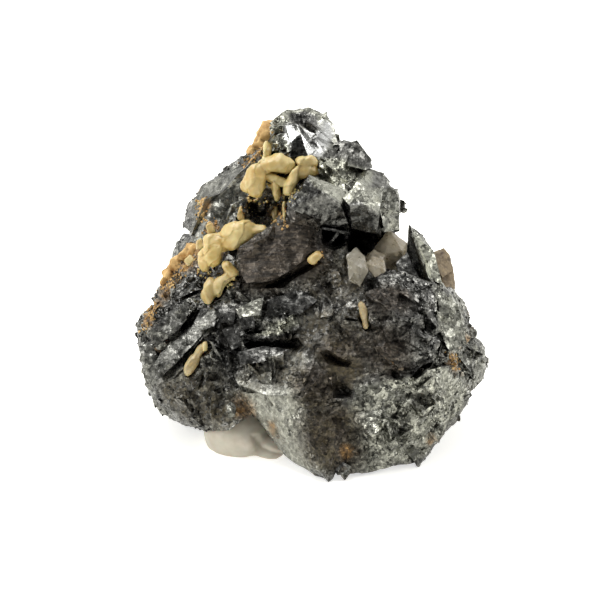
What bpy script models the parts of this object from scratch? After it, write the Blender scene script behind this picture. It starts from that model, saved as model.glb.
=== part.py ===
"""A tetrahedrite specimen about 56 mm across, with siderite, quartz and iron crusts, propped on putty.

Every form is laid out in millimetres as (across, up, out): across to the right, up the picture and
out towards the eye, as the specimen is seen from VIEW_TILT above the table. placed() turns that
into metres with +Z up. The grey ore is one intergrown mass: convex blocks of flat faces and small
truncated tetrahedra joined into one solid, with its gashes and the other minerals' seats cut out.
"""

import math
import random

import bmesh
import bpy
import numpy as np
from mathutils import Matrix, Quaternion, Vector
from mathutils.bvhtree import BVHTree

MM = 0.001
WELD = 0.002 * MM
SHORT_EDGE = 0.1 * MM
MENDING_TURNS = 3  # rounds of closing up a short edge that three or more faces share
VIEW_TILT = math.radians(20.0)
CENTRE_HEIGHT = 22.5  # mm from the table up to the middle of the layout
SEAT_GAP = 0.3  # mm between two pieces that touch
BLOCK_SEAT_GAP = 0.4  # mm at the corners of a carbonate block
DROP_FROM = 40.0  # mm in front of the layout that a small crystal is dropped from
BELOW_TABLE = ((0, 0, -0.03), (0.2, 0.2, 0.06))  # centre and sides in metres of what is cut away
CUT_CORNERS_FROM = 3.0  # mm, the size from which a crystal shows its cut corners
DRUSE_SEED = 6
LUMP_SEED = 29
REAR_CRYSTALS = (44, 3.0, 6.4)  # how many are dropped on the rear, and their sizes from and to in mm
REAR_RING = (80.0, -10.0, 75.0)  # mm: its radius, and the lowest and highest start of a drop
REAR_FACING = -0.45  # a rear crystal's ground faces at least this much away from the eye
ORE_TRIANGLES = 4600  # before the seats are cut
LENS_SHARE = 0.6  # of the triangles that a siderite's joined lenses start with
LENS_SQUARENESS = 0.82  # below 1 a lens is boxier than an ellipsoid
BACK_SEED = 1

# Each block: its corners, how far it runs back, and how much it narrows on the way.
FRONT_BLOCKS = {
    "summit": ([(-4.6, 28.6, -7.8), (-2.4, 30.3, -8.9), (-0.3, 30.8, -9.3), (2, 30.4, -9.3),
                (4.4, 29.3, -8.9), (5.5, 27.8, -7.4), (6.1, 24.8, -4.8), (4.6, 22.2, -3), (-0.6, 22, -2.4),
                (-4.6, 22.4, -3.4), (-4.9, 26.8, -6.7)], 11, 0.8),
    "summit_spear": ([(0.1, 26.6, -5.1), (-1.9, 22.6, -1.6), (1.2, 22.4, -1.6), (-1, 24.6, -3.1)], 4, 0.9),
    "summit_step": ([(1.7, 25.6, -4.7), (4.2, 26, -5.6), (3.4, 23, -2.7), (2.2, 22.6, -2.2)], 4, 0.9),
    "left_slab": ([(-6.1, 23.7, -5.9), (-9.6, 22.7, -8.9), (-15.5, 18.4, -10.4), (-17.9, 14.9, -10),
                   (-18.8, 11.8, -8.9), (-15.2, 9.3, -5.3), (-12.2, 11.6, -3.6), (-10.7, 15, -3.1),
                   (-8.6, 16.3, -2.8), (-8.3, 19.5, -3.7), (-6.1, 21.1, -4.8)], 11, 0.85),
    "slab_foot": ([(-19.8, 7.7, -10), (-18.9, 10.6, -8.1), (-15.2, 9.9, -4.7), (-13.4, 6.1, -2.8),
                   (-17.6, 4, -3.2), (-21.1, 4.5, -8)], 11, 0.85),
    "shoulder_lump": ([(6.1, 24.4, -5.9), (8.8, 25.4, -7.1), (9.6, 24.8, -7.1), (10.9, 22.9, -6.4),
                       (11.6, 21, -5.2), (8.8, 20.4, -2.7), (6.4, 21.6, -2.2), (5, 23.4, -3.7)], 9, 0.85),
    "bright_bench": ([(1.4, 23.1, -3.7), (4.8, 23.7, -3.7), (7.2, 21.6, -2.7), (8.2, 19.2, -0.7),
                      (5.6, 17.2, 0.6), (2.7, 19, -0.7)], 8, 0.9),
    "chevron_left": ([(1.6, 19.4, 1.6), (6.5, 15.8, 4.6), (7, 12.6, 3.6), (2.9, 11.6, 4.6), (-1.6, 11.9, 4),
                      (-2, 15.2, 2.5), (-0.8, 17.9, 1), (3.4, 19.5, -1.5), (7.2, 17, 0.4)], 8, 0.85),
    "chevron_right": ([(6.9, 15.5, 4.3), (9.1, 18.9, 1.6), (11.7, 16.4, 3.6), (12.2, 13.5, 3),
                       (11.2, 10.4, 1.6), (7.5, 11.4, 2.2), (9.3, 20, -2.2), (12.8, 17.6, -1.5)], 8, 0.85),
    "chevron_tooth": ([(8, 15.6, 4.6), (9.6, 16.6, 4.2), (11, 15.2, 4.6), (9.4, 14.6, 5.2)], 3, 0.9),
    "upper_bench": ([(8.8, 21.1, -3.7), (11.5, 20.8, -4.4), (13.2, 20.3, -4.9), (14.2, 18.7, -3.7),
                     (13.8, 17.6, -1.9), (11, 18, -0.7), (9, 19.5, -1.5)], 9, 0.85),
    "right_knob": ([(11.5, 17.6, 0), (14.1, 18.2, -1.2), (15.3, 17.5, -2.2), (15.8, 15.9, -2.7),
                    (15.7, 13.5, -3), (15.8, 11, -3.4), (13.6, 10.5, 0), (12.3, 11.5, 1.6),
                    (11.8, 15.2, 2.6), (14, 14.8, 1.4)], 9, 0.85),
    "brown_face": ([(-1.6, 11.9, 4), (2.6, 12.5, 3.6), (3.5, 8, 4.6), (0.2, 5.8, 6.6), (-4, 2.9, 7.6),
                    (-8.3, 2.6, 6.6), (-10.2, 6.1, 4.6), (-9.3, 8.3, 3.6), (-5.1, 11.4, 2.6)], 9, 0.85),
    "under_ledge": ([(2.9, 6.1, 3), (5.6, 6.1, 5), (7.2, 1.6, 7), (4.8, -4.8, 8), (0.8, -5.6, 6.6),
                     (-1.6, -3.2, 5.6), (-6.1, 0, 4), (-2.4, 2.6, 3)], 10, 0.85),
    "hand_bench": ([(-14.6, 3.6, 0.4), (-11.4, 4.4, 2.2), (-8.6, 3.6, 3.6), (-6.3, 0.3, 4.6),
                    (-9.9, -1.2, 4.4), (-13.4, -0.2, 2.4)], 7, 0.85),
    "arrow_crystal": ([(-9.9, -1.6, 5.6), (-6, 0.7, 5), (-6, -2.6, 7.2), (-8.8, -2.9, 7.2),
                       (-9.4, -4.9, 4.6), (-6, -4.6, 5)], 5, 0.9),
    "dark_cube": ([(-12.6, -0.4, 3.8), (-9.6, -1, 4.6), (-9.3, -4.3, 4.4), (-11.8, -4.4, 3.4)], 6, 0.9),
    "spark_ridge": ([(-8.6, -5.1, 6.2), (-4.3, -3.2, 6.8), (-0.6, -2.6, 7.6), (0, -4.6, 8), (-1.6, -5.6, 8),
                     (-6.4, -6.4, 7.6)], 6, 0.9),
    "lower_shelf": ([(-10.4, -9.1, 4.4), (-6.4, -7.7, 5), (0, -8.5, 8.4), (1.6, -11.2, 12), (0, -15.2, 13),
                     (-6.1, -14.7, 10), (-10.2, -12.5, 6.6)], 9, 0.85),
    "front_pyramid": ([(-9.8, -14.4, 5.2), (0, -15, 13.6), (3.4, -27, 13.2), (4.2, -28.3, 12.2),
                       (-2.4, -24.3, 7.4), (-7.4, -18.2, 4.2), (7.2, -15.2, 11.6), (8, -22.4, 11),
                       (5.4, -27.4, 11.2)], 13, 0.72),
    "brown_column": ([(0.8, -7.4, 9.2), (8, -7.5, 10.2), (8.5, -15.2, 11.8), (1, -15, 13.2)], 8, 0.9),
    "column_side": ([(8, -7.5, 10.8), (12, -7.5, 11.8), (12.5, -13, 12.2), (8.3, -15, 11.8)], 8, 0.9),
    "lower_right": ([(8, -13.6, 11.8), (13.6, -11.7, 12.2), (19.2, -11.2, 10.8), (24.8, -9.9, 5.4),
                     (27.4, -15, 1), (24.5, -19.4, 1.6), (21.3, -22.4, 3), (19.5, -25.2, 5.6),
                     (12, -26.6, 9.2), (7, -27.2, 10.8)], 15, 0.8),
    "right_mass": ([(11.2, 2.4, 7.6), (14.4, 4.8, 5.6), (20.8, 2.7, 5), (22.4, 0, 6), (21.8, -7.2, 9),
                    (20.8, -9.6, 9.8), (15.2, -10.6, 13), (11.5, -7.2, 12.2), (15, -3, 12.2)], 13, 0.85),
    "right_flank": ([(21.8, 2.6, 4.6), (24.6, 1.4, -1), (26.7, -1.1, -5), (27, -4.8, -5), (24.8, -9.6, 4),
                     (21.8, -8.8, 9), (22.6, 0, 6.4)], 13, 0.85),
    "right_corner": ([(26.2, -5, -4), (28.3, -6.4, -6), (29.3, -8, -7), (29.9, -9.9, -7), (28.9, -13, -6),
                      (27.5, -14.4, -4), (25.9, -13.6, 0), (25.1, -9.6, 1.4)], 11, 0.85),
    "blade": ([(17.1, 12, -2.7), (18.6, 8.8, -1), (19.2, 6.1, 0), (20.8, 2.9, 1.6), (17, 7.2, -5.6),
               (17.6, 5.4, -5), (19, 2.6, -3), (18.5, 10.9, -4.4), (20, 9.6, -5.6), (21.5, 7.2, -7.6),
               (22.4, 2.7, -5)], 2.5, 0.95),
    "rim_block": ([(19.6, 6.6, -8), (21.4, 7.6, -8.2), (23.4, 6, -8), (24.2, 2, -7), (21, 0.4, -5.4),
                   (19.2, 2.6, -5.6)], 5, 0.9),
    "bar_upper": ([(-18.2, -5.9, 2.4), (-15.5, -1.9, 1.8), (-12.5, -0.3, 1.8), (-11.7, -1.3, 3.2),
                   (-14.2, -5.3, 4.8), (-16.6, -7.7, 4.4)], 8, 0.9),
    "bar_lower": ([(-23.7, -10.6, -1), (-22.4, -8.5, -1), (-17.9, -6.1, 1.8), (-16.4, -7.5, 4),
                   (-18.2, -10.4, 4.4), (-20.5, -12.8, 3.4), (-23, -13.4, 1.2)], 9, 0.85),
    "outer_bar": ([(-24.5, -2.9, -3), (-21.6, -1, -2), (-19.2, 0.5, -1), (-16, 0.3, 0.6), (-16.3, -1, 1.6),
                   (-19.2, -3.5, 2.4), (-20.5, -6.1, 1.4), (-23.2, -8, -1), (-24.8, -7.2, -3)], 9, 0.85),
    "left_knob": ([(-23.7, 0, -6), (-21.6, 3.2, -6), (-18.4, 5.6, -5), (-15.2, 5.1, -2), (-14, 2.4, 0),
                   (-16, 0.3, 0), (-20, 0, -1.6), (-23.2, -1.9, -4)], 9, 0.85),
    "left_edge": ([(-25.9, -4, -5), (-25.3, -2.4, -5.6), (-24, -0.8, -6), (-23.7, -7.2, -2.6),
                   (-24.5, -13.2, -3.4), (-24.8, -9.6, -5)], 8, 0.85),
    "left_base": ([(-24.6, -13.4, -3), (-24, -12.8, -2), (-18.4, -13.1, 2.4), (-13.6, -14.1, 4),
                  (-9.6, -16, 4.6), (-8.4, -18.8, 5.8), (-11.4, -20.3, 5.4), (-15.2, -20.5, 1.6),
                   (-19.2, -19.5, -4), (-21.9, -18.1, -5), (-23.5, -16, -5)], 11, 0.85),
    "left_inner": ([(-16, -5.9, 2.4), (-9.4, -6.2, 3), (-9.5, -12.8, 5), (-13.5, -13.6, 3.6),
                    (-17.5, -12.5, 2.4), (-18, -8.6, 2.4)], 8, 0.9),
    "splinter": ([(-14.1, -6.1, 4.6), (-13.2, -6, 5.2), (-12, -9.9, 5.6), (-12.9, -10, 5)], 3, 0.95),
    "matrix_patch": ([(3.2, 4, 4), (7.2, 6.1, 4), (10.4, 2.4, 6.6), (11.5, 0, 8), (11.2, -7.2, 10.6),
                      (7.2, -8, 10.6), (2.9, -7.2, 9.2), (2.4, -1.6, 6.6), (7, -2.4, 10)], 10, 0.85),
    "foot_lump": ([(5.8, -27, 12.2), (8.2, -26.7, 11.2), (7, -28.2, 11.6), (6.6, -26, 12.4)], 5, 0.8),
    "right_foot": ([(17.2, -24.6, 7.2), (19.6, -25.1, 6), (18.7, -26.4, 6), (18, -23.6, 8)], 5, 0.8),
}

# The hidden rear is guessed: the same blocky habit, by corners on its outer side and depths inwards.
BACK_BLOCKS = {
    "rear_summit": ([(-5.0, 27.4, -10.4), (1.0, 29.2, -11.4), (6.0, 25.0, -12.6), (3.0, 19.5, -15.6),
                     (-5.2, 20.5, -14.8)], 8, 0.9),
    "rear_shoulder": ([(-15.6, 16.2, -13), (-8.0, 20.0, -14.6), (-5.0, 12.0, -17.6), (-12.5, 7.2, -17.6),
                       (-18.0, 10.0, -13.6)], 9, 0.9),
    "rear_wall": ([(-3.8, 16.6, -17), (5.4, 17.2, -16.6), (9.6, 11.0, -17.6), (4.4, 3.6, -20.4),
                   (-4.4, 6.4, -19.8)], 10, 0.9),
    "rear_right_step": ([(8.6, 16.6, -13.6), (13.6, 14.0, -11.6), (14.6, 5.0, -15), (12.4, 1.4, -18.4),
                         (7.4, 7.6, -17.6)], 9, 0.9),
    "rear_right_block": ([(13.6, 2.4, -17.6), (21.0, 1.8, -14), (25.0, -5.4, -13.6), (20.2, -12.0, -17.6),
                          (12.6, -7.6, -20.6)], 10, 0.88),
    "rear_middle": ([(-5.4, 2.4, -20.6), (4.6, 2.0, -21.4), (10.6, -6.2, -21.8), (3.2, -13.4, -22.6),
                     (-7.0, -9.6, -22)], 9, 0.9),
    "rear_left_block": ([(-20.6, 3.8, -13.6), (-12.4, 4.4, -18), (-8.4, -4.6, -20.4), (-15.6, -11.8, -18.6),
                         (-22.8, -5.4, -14)], 9, 0.88),
    "rear_left_foot": ([(-22.0, -8.0, -14.4), (-12.0, -8.8, -20), (-8.6, -15.6, -20), (-14.0, -17.4, -16.4),
                        (-21.4, -16.0, -12.6)], 8, 0.9),
    "rear_foot": ([(-7.4, -10.0, -22), (4.8, -11.4, -23.4), (12.4, -12.0, -21.6), (10.4, -17.0, -20.6),
                   (-1.0, -16.4, -22), (-8.0, -17.2, -19.6)], 10, 0.9),
    "rear_right_foot": ([(12.6, -10.2, -19.6), (22.6, -9.4, -15.4), (25.4, -15.0, -10.4),
                         (20.0, -19.0, -10.6), (12.0, -17.6, -17)], 9, 0.9),
}

# The two bodies that fill the inside, by their corners.
CORES = {
    "core_lower": [(-13, 7, -4), (-3, 9, -2), (9, 7, -2), (15, 2, 2), (22, -8, 2), (18, -20, 4), (6, -23, 7),
                   (-4, -19, 3), (-16, -14, -1), (-21, -6, -4), (-19, 4, -6), (-12, 11, -13), (0, 18, -13),
                   (9, 14, -13), (16, 4, -15), (21, -8, -14), (14, -17, -15), (-2, -18, -16), (-14, -12, -15),
                   (-18, 2, -14)],
    "core_upper": [(-13, 17, -7), (-6, 20, -6), (0, 22, -6), (7, 20, -4.5), (12, 17, -4), (13, 12, -4), (3, 9, -2),
                   (-8, 9, -5), (-10, 17, -12), (0, 24, -12), (8, 19, -12), (12, 12, -14)],
}

# Fillings that join neighbouring blocks, so that the gap between them is a shallow ledge:
# the blocks and how far behind their faces the filling lies.
FILLINGS = {
    "upper_left_filling": (["summit", "left_slab", "rear_summit", "rear_shoulder"], 2.0),
    "upper_right_filling": (["summit", "shoulder_lump", "bright_bench", "upper_bench", "rear_summit"], 1.4),
    "chevron_filling": (["chevron_left", "chevron_right", "upper_bench", "right_knob", "bright_bench"], 1.5),
    "face_filling": (["brown_face", "under_ledge", "hand_bench", "chevron_left"], 1.5),
    "matrix_filling": (["under_ledge", "spark_ridge", "matrix_patch", "arrow_crystal"], 1.0),
    "mass_filling": (["matrix_patch", "right_mass", "brown_column", "column_side"], 1.0),
    "flank_filling": (["right_mass", "right_flank", "lower_right"], 1.9),
    "corner_filling": (["right_flank", "right_corner", "lower_right", "rear_right_block"], 1.2),
    "front_filling": (["lower_shelf", "front_pyramid", "brown_column", "lower_right"], 1.0),
    "shelf_filling": (["left_inner", "lower_shelf", "spark_ridge", "dark_cube", "hand_bench"], 1.8),
    "left_filling": (["outer_bar", "bar_upper", "bar_lower", "left_edge", "left_base", "left_inner"], 1.2),
    "knob_filling": (["left_knob", "slab_foot", "hand_bench", "outer_bar"], 1.6),
    "rear_upper_filling": (["rear_wall", "rear_shoulder", "rear_right_step", "rear_summit"], 1.0),
    "rear_middle_filling": (["rear_middle", "rear_left_block", "rear_right_block", "rear_wall"], 1.0),
    "rear_lower_filling": (["rear_middle", "rear_foot", "rear_left_foot", "rear_right_foot"], 1.0),
    "left_side_filling": (["slab_foot", "rear_shoulder", "rear_left_block", "left_knob"], 1.0),
    "left_foot_filling": (["left_base", "left_edge", "rear_left_foot", "rear_left_block"], 1.0),
    "right_side_filling": (["right_mass", "rear_right_block"], 3.0),
    "right_back_filling": (["rear_right_step", "rear_right_block", "rear_wall"], 1.5),
    "right_foot_filling": (["lower_right", "rear_right_foot", "rear_right_block"], 1.0),
}
FILLING_SHRINK = 0.97

# Gashes and hollows: corners of the mouth, just outside the surface, and corners of the floor.
GASHES = {
    "ledge_crevice": ([(3.6, 7.0, 7), (4.2, 5.6, 7.5), (-1.2, 2.2, 9), (-6.4, 1.2, 8.5), (-6.0, 2.6, 9),
                       (-1.0, 4.4, 9)], [(2.6, 6.0, 2.5), (-4.8, 1.8, 2.5)] ),
    "long_gap": ([(-9.6, -6.2, 8), (-4.4, -6.6, 9), (0.0, -5.8, 9.5), (0.8, -7.2, 10), (-0.4, -8.4, 10),
                  (-8.8, -8.0, 7)], [(-8.0, -7.0, 1.5), (-1.0, -7.0, 2.5)] ),
    "left_notch": ([(-9.8, -4.6, 7), (-5.8, -4.3, 8), (-6.0, -5.4, 8.5), (-9.8, -5.9, 7)],
                    [(-9.0, -5.2, 2.5), (-6.4, -4.9, 4)] ),
    "matrix_gash": ([(2.8, -8.0, 11), (4.4, -7.6, 11.5), (8.3, -9.8, 12.5), (7.8, -10.6, 13),
                     (4.6, -10.3, 13)], [(4.2, -8.8, 6), (7.2, -10.0, 7)] ),
    "column_pit": ([(4.6, -12.4, 14.5), (7.4, -12.6, 13.5), (8.6, -14.2, 13), (7.8, -15.7, 13.5),
                    (4.9, -15.4, 14.5)], [(6.0, -13.6, 8.5), (6.8, -14.6, 8.5)] ),
    "right_crevice": ([(21.6, -9.2, 11), (21.0, -10.6, 11), (17.2, -12.6, 13), (16.6, -11.7, 14),
                       (18.2, -10.3, 13)], [(20.4, -10.0, 5), (17.6, -11.8, 7)] ),
    "right_hole": ([(13.8, -10.0, 14.5), (16.0, -10.8, 14.5), (16.6, -12.6, 14), (14.2, -12.9, 13.8),
                    (12.8, -11.6, 13.5)], [(14.6, -11.4, 8), (15.2, -12.0, 8)] ),
    "under_chevron": ([(3.0, 12.0, 7), (7.6, 11.8, 6), (8.0, 8.4, 6), (5.6, 7.2, 6), (3.4, 8.4, 6.5)],
                       [(4.4, 10.4, -3), (6.4, 9.4, -3)] ),
    "right_hollow": ([(7.2, 12.4, 5), (12.4, 11.4, 4.5), (13.2, 9.2, 3), (11.8, 8.0, 4), (7.2, 7.6, 6)],
                      [(8.6, 10.4, -4), (11.2, 10.0, -4)] ),
    "quartz_hole": ([(9.8, 3.6, 8.5), (12.4, 4.3, 8), (13.2, 2.0, 9.5), (11.6, 0.2, 10.5), (9.9, 0.4, 10)],
                     [(11.0, 2.4, 3.5), (11.6, 1.6, 3.5)] ),
    "bar_slot": ([(-19.6, -4.6, 4.5), (-16.6, -1.0, 4), (-15.2, -1.3, 4.5), (-16.8, -4.5, 6),
                  (-18.6, -5.8, 5.5)], [(-18.4, -4.4, -2), (-16.4, -1.8, -2)] ),
    "outer_slot": ([(-23.0, -8.3, 1.5), (-19.2, -6.5, 4), (-18.2, -7.1, 5), (-20.2, -8.6, 5),
                    (-23.0, -9.8, 2.5)], [(-21.8, -8.4, -4), (-19.4, -7.4, -2)] ),
    "knob_slot": ([(-20.6, 0.3, 1), (-15.6, 2.3, 2), (-15.0, 1.2, 2.5), (-19.4, -0.9, 1.5)],
                   [(-19.0, -0.2, -4), (-16.0, 1.4, -3)] ),
    "siderite_hollow": ([(-9.2, 16.2, 0), (-5.0, 16.7, 1.5), (-3.2, 13.8, 3), (-5.4, 11.5, 4),
                         (-9.0, 12.6, 1)], [(-7.2, 14.8, -6), (-5.8, 13.4, -6)] ),
    "inner_hole": ([(-15.2, -11.0, 6), (-12.6, -10.5, 6.5), (-12.3, -12.7, 6.5), (-15.0, -12.9, 5.5)],
                    [(-13.9, -11.6, 0.5), (-13.6, -12.0, 0.5)] ),
}

# Where small crystals stud the ore: (across, up), spread, how many, and their sizes from and to.
DRUSES = {
    "summit_druse": ((-3.4, 24.8), 1.4, 3, 1.8, 2.8),
    "summit_cap": ((1.6, 27.6), 1.3, 3, 1.8, 2.6),
    "bright_druse": ((5.0, 20.4), 2.4, 8, 2.0, 3.4),
    "shoulder_druse": ((8.8, 22.6), 1.8, 4, 2.4, 3.8),
    "chevron_druse": ((1.8, 14.6), 2.6, 5, 2.0, 3.2),
    "knob_druse": ((12.8, 14.8), 1.3, 5, 2.2, 3.4),
    "hollow_druse": ((-6.8, 14.2), 1.8, 4, 1.8, 2.6),
    "face_edge_druse": ((-5.6, 9.2), 2.0, 3, 1.8, 2.6),
    "right_mass_druse": ((17.0, -2.0), 4.6, 13, 2.8, 5.2),
    "right_flank_druse": ((24.0, -4.6), 2.4, 5, 2.6, 4.0),
    "corner_druse": ((27.0, -9.6), 1.8, 4, 2.4, 3.6),
    "lower_right_druse": ((16.6, -17.4), 6.0, 10, 2.4, 4.6),
    "matrix_druse": ((7.0, -2.0), 3.6, 7, 2.2, 3.8),
    "column_druse": ((5.2, -14.0), 3.2, 6, 2.0, 3.6),
    "shelf_druse": ((-4.4, -10.8), 3.2, 8, 2.0, 3.4),
    "ridge_druse": ((-3.2, -4.2), 2.4, 5, 1.8, 3.0),
    "left_druse": ((-20.6, -4.0), 3.0, 5, 2.4, 3.6),
    "left_base_druse": ((-16.4, -15.6), 3.8, 6, 2.4, 4.0),
    "inner_druse": ((-13.0, -9.6), 2.2, 5, 2.0, 3.2),
    "bench_druse": ((-9.0, 0.8), 1.6, 3, 1.8, 2.8),
}

# Siderite lenses: centre, half sizes along, across and through, turn in the picture, lean and bend.
SIDERITE = {
    "siderite_upper": [
        ((-3.8, 21.3, -0.6), (2.7, 1.5, 1.9), 0, 8, 0.1),
        ((-6.8, 18.6, 0.0), (2.6, 1.7, 2.0), 74, 12, 0.3),
        ((-5.4, 20.4, -1.0), (1.7, 1.2, 1.6), 40, 0, 0.0),
        ((1.1, 21.8, 0.0), (1.9, 0.95, 1.5), -10, 15, 0.0),
        ((0.8, 20.3, -0.2), (2.2, 1.0, 1.5), 12, 0, 0.1),
        ((-1.1, 18.7, 0.4), (2.3, 0.95, 1.5), 64, 5, 0.2),
        ((-3.4, 18.8, -0.4), (2.2, 0.6, 1.2), -14, 0, 0.0),
        ((-3.8, 17.4, 0.0), (1.3, 0.7, 1.1), -70, 0, 0.0),
        ((-5.4, 23.4, -2.6), (1.7, 0.45, 1.4), 86, 0, 0.0),
    ],
    "siderite_middle": [
        ((-9.6, 10.1, 1.0), (3.3, 2.0, 2.2), 20, 12, 0.15),
        ((-7.3, 10.8, 1.2), (2.0, 0.85, 1.4), 22, 0, 0.0),
        ((-13.6, 7.8, 1.2), (2.6, 1.65, 2.0), 78, 8, 0.1),
        ((-15.1, 6.6, 0.8), (1.9, 0.85, 1.5), 84, 0, 0.1),
        ((-12.4, 9.0, 1.0), (1.7, 1.5, 1.6), 40, 0, 0.0),
    ],
    "siderite_lower": [
        ((-14.2, 1.5, 2.2), (2.1, 0.95, 1.5), 80, 8, 0.2),
        ((-12.6, 2.1, 2.7), (1.9, 0.9, 1.3), 63, 4, 0.1),
        ((-11.0, 4.6, 2.8), (1.6, 0.85, 1.2), -66, 0, 0.1),
        ((-11.6, 3.5, 2.7), (1.4, 0.75, 1.1), 56, 3, 0.0),
    ],
    "siderite_chip": [
        ((-17.0, -10.2, 4.4), (2.0, 0.95, 1.3), 60, 10, 0.1),
        ((-15.8, -8.1, 4.3), (1.5, 0.6, 1.1), 60, 0, 0.0),
    ],
    "siderite_blade": [
        ((9.9, -2.0, 10.8), (1.9, 0.65, 1.3), -74, 10, 0.12),
        ((10.3, -3.7, 11.0), (1.0, 0.42, 1.0), -84, 0, 0.0),
    ],
    "siderite_wedge": [
        ((2.3, 6.7, 6.2), (1.3, 0.75, 1.2), 38, 0, 0.0),
    ],
}

# Iron-stained carbonate crusts: a chain of low lumps along the edge, by centre and radius.
CRUSTS = {
    "crust_summit": [((-5.2, 27.9, -9.2), 1.1), ((-5.5, 26.4, -8.4), 1.3), ((-6.3, 25.0, -8.6), 1.2),
                     ((-7.4, 23.8, -9.0), 1.1), ((-8.9, 22.8, -10.2), 0.95), ((-5.1, 24.6, -5.8), 0.75),
                     ((-4.9, 23.4, -4.6), 0.6)],
    "crust_left": [((-16.6, 7.9, -4.6), 1.5), ((-18.1, 6.8, -5.6), 1.2), ((-19.4, 5.5, -6.4), 1.3),
                   ((-20.6, 4.2, -6.8), 1.2), ((-21.6, 2.8, -6.8), 1.0), ((-22.6, 1.2, -6.8), 0.9),
                   ((-23.6, -0.3, -6.2), 0.85)],
}

# Quartz: stubby six-sided prisms by foot, tip, half width and how much of the length is the point.
QUARTZ_PRISMS = [
    ((14.8, 3.4, -2.6), (14.0, 11.2, 1.4), 2.7, 0.34),
    ((12.2, 3.6, 0.6), (11.6, 8.0, 3.0), 1.8, 0.30),
    ((8.4, 1.6, 0.2), (8.8, 8.3, 3.6), 1.9, 0.30),
    ((9.8, 2.4, 3.0), (9.0, 5.6, 5.0), 1.3, 0.34),
]

# The brown carbonate lump on the right rim, by its corners and run back.
ANKERITE_BLOCKS = {
    "ankerite_top": ([(20.9, 7.6, -4.2), (22.8, 8.3, -4.8), (23.8, 7.2, -4.8), (24.4, 4.8, -4.2),
                      (22.6, 3.6, -1.6), (21.4, 5.0, -2.4)], 4.5, 0.85),
    "ankerite_low": ([(21.8, 4.4, -2.6), (24.4, 4.8, -4.2), (24.7, 1.8, -3.4), (22.9, 0.8, -0.6)], 4.5, 0.85),
}

# Display putty: a big soft lump and a small one folded against it, under the ore's left side.
PUTTY_LUMPS = {  # centre across and out along the table, half width, half depth and height
    "putty_main": ((-9.4, 4.2), (6.0, 8.0), 8.0),
    "putty_fold": ((-4.1, 7.4), (3.4, 4.8), 4.0),
}
PUTTY_FOOT = 0.84  # the foot's width as a share of the widest ring
PUTTY_RINGS = 7
PUTTY_SIDES = 18

FINISHES = {  # colour, roughness and metallic value
    "tetrahedrite": ((0.19, 0.19, 0.195), 0.42, 0.85),
    "siderite": ((0.60, 0.47, 0.22), 0.42, 0.0),
    "iron_crust": ((0.58, 0.36, 0.13), 0.75, 0.0),
    "ankerite": ((0.34, 0.26, 0.15), 0.6, 0.0),
    "quartz": ((0.36, 0.31, 0.24), 0.2, 0.0),
    "putty": ((0.78, 0.76, 0.72), 0.55, 0.0),
}


def placed(across, up, out):
    """A point of the layout, in metres with +Z up."""
    y = up * math.sin(VIEW_TILT) - out * math.cos(VIEW_TILT)
    z = up * math.cos(VIEW_TILT) + out * math.sin(VIEW_TILT) + CENTRE_HEIGHT
    return Vector((across, y, z)) * MM


ALL_BLOCKS = {**FRONT_BLOCKS,
              **{name: (corners, -depth, taper) for name, (corners, depth, taper) in BACK_BLOCKS.items()}}
MIDDLE_OF_ORE = placed(2.0, -1.0, -7.0)
TO_EYE = (placed(0, 0, 1) - placed(0, 0, 0)).normalized()


def finish_of(name):
    """The material of that name, made the first time it is asked for."""
    found = bpy.data.materials.get(name)
    if found:
        return found
    material = bpy.data.materials.new(name)
    material.use_nodes = True
    colour, roughness, metallic = FINISHES[name]
    shader = material.node_tree.nodes["Principled BSDF"]
    shader.inputs["Base Color"].default_value = (*colour, 1.0)
    shader.inputs["Roughness"].default_value = roughness
    shader.inputs["Metallic"].default_value = metallic
    return material


def give_finish(obj, name):
    """Leaves the object with that one material."""
    obj.data.materials.clear()
    obj.data.materials.append(finish_of(name))


def collection_of(name):
    """A new collection in the scene."""
    made = bpy.data.collections.new(name)
    bpy.context.scene.collection.children.link(made)
    return made


def add_object(name, bm, collection, helper=False):
    """Makes the bmesh an object. A helper is a Boolean's operand, and stays out of the model."""
    bmesh.ops.recalc_face_normals(bm, faces=bm.faces)
    if bm.calc_volume(signed=True) < 0:
        bmesh.ops.reverse_faces(bm, faces=bm.faces)
    mesh = bpy.data.meshes.new(name)
    bm.to_mesh(mesh)
    bm.free()
    obj = bpy.data.objects.new(name, mesh)
    collection.objects.link(obj)
    if helper:
        obj.hide_render = True
        obj.display_type = "WIRE"
    return obj


def hull(points):
    """A bmesh of the convex hull of points, in metres."""
    bm = bmesh.new()
    for point in points:
        bm.verts.new(point)
    result = bmesh.ops.convex_hull(bm, input=bm.verts)
    spare = {part for key in ("geom_interior", "geom_unused") for part in result[key]}
    inside = [part for part in spare if isinstance(part, bmesh.types.BMVert)]
    bmesh.ops.delete(bm, geom=inside, context="VERTS")
    return bm


def filling_points(names, set_back):
    """The corners of several blocks, drawn in and moved away from the surface they share."""
    points = [point for name in names for point in block_points(*ALL_BLOCKS[name])]
    middle = sum(points, Vector()) / len(points)
    inwards = (MIDDLE_OF_ORE - middle).normalized() * set_back * MM
    return [middle + (p - middle) * FILLING_SHRINK + inwards for p in points]


def block_points(corners, depth, taper):
    """A block's corners and the same corners run back by depth and drawn in by taper."""
    middle = np.mean(corners, axis=0)
    front = [placed(*corner) for corner in corners]
    back = []
    for corner in corners:
        across, up, out = middle + (np.array(corner) - middle) * taper
        back.append(placed(across, up, out - depth))
    return front + back


def tetrahedron_points(size, cut):
    """A tetrahedron's corners about its middle: four, or twelve when each corner is cut off."""
    corners = [Vector(c) * size / 2 for c in ((1, 1, 1), (1, -1, -1), (-1, 1, -1), (-1, -1, 1))]
    return [a.lerp(b, cut) for a in corners for b in corners if a is not b] if cut else corners


def surface_of(obj):
    """A search tree over the object's evaluated mesh."""
    graph = bpy.context.evaluated_depsgraph_get()
    return BVHTree.FromObject(obj, graph)


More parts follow.
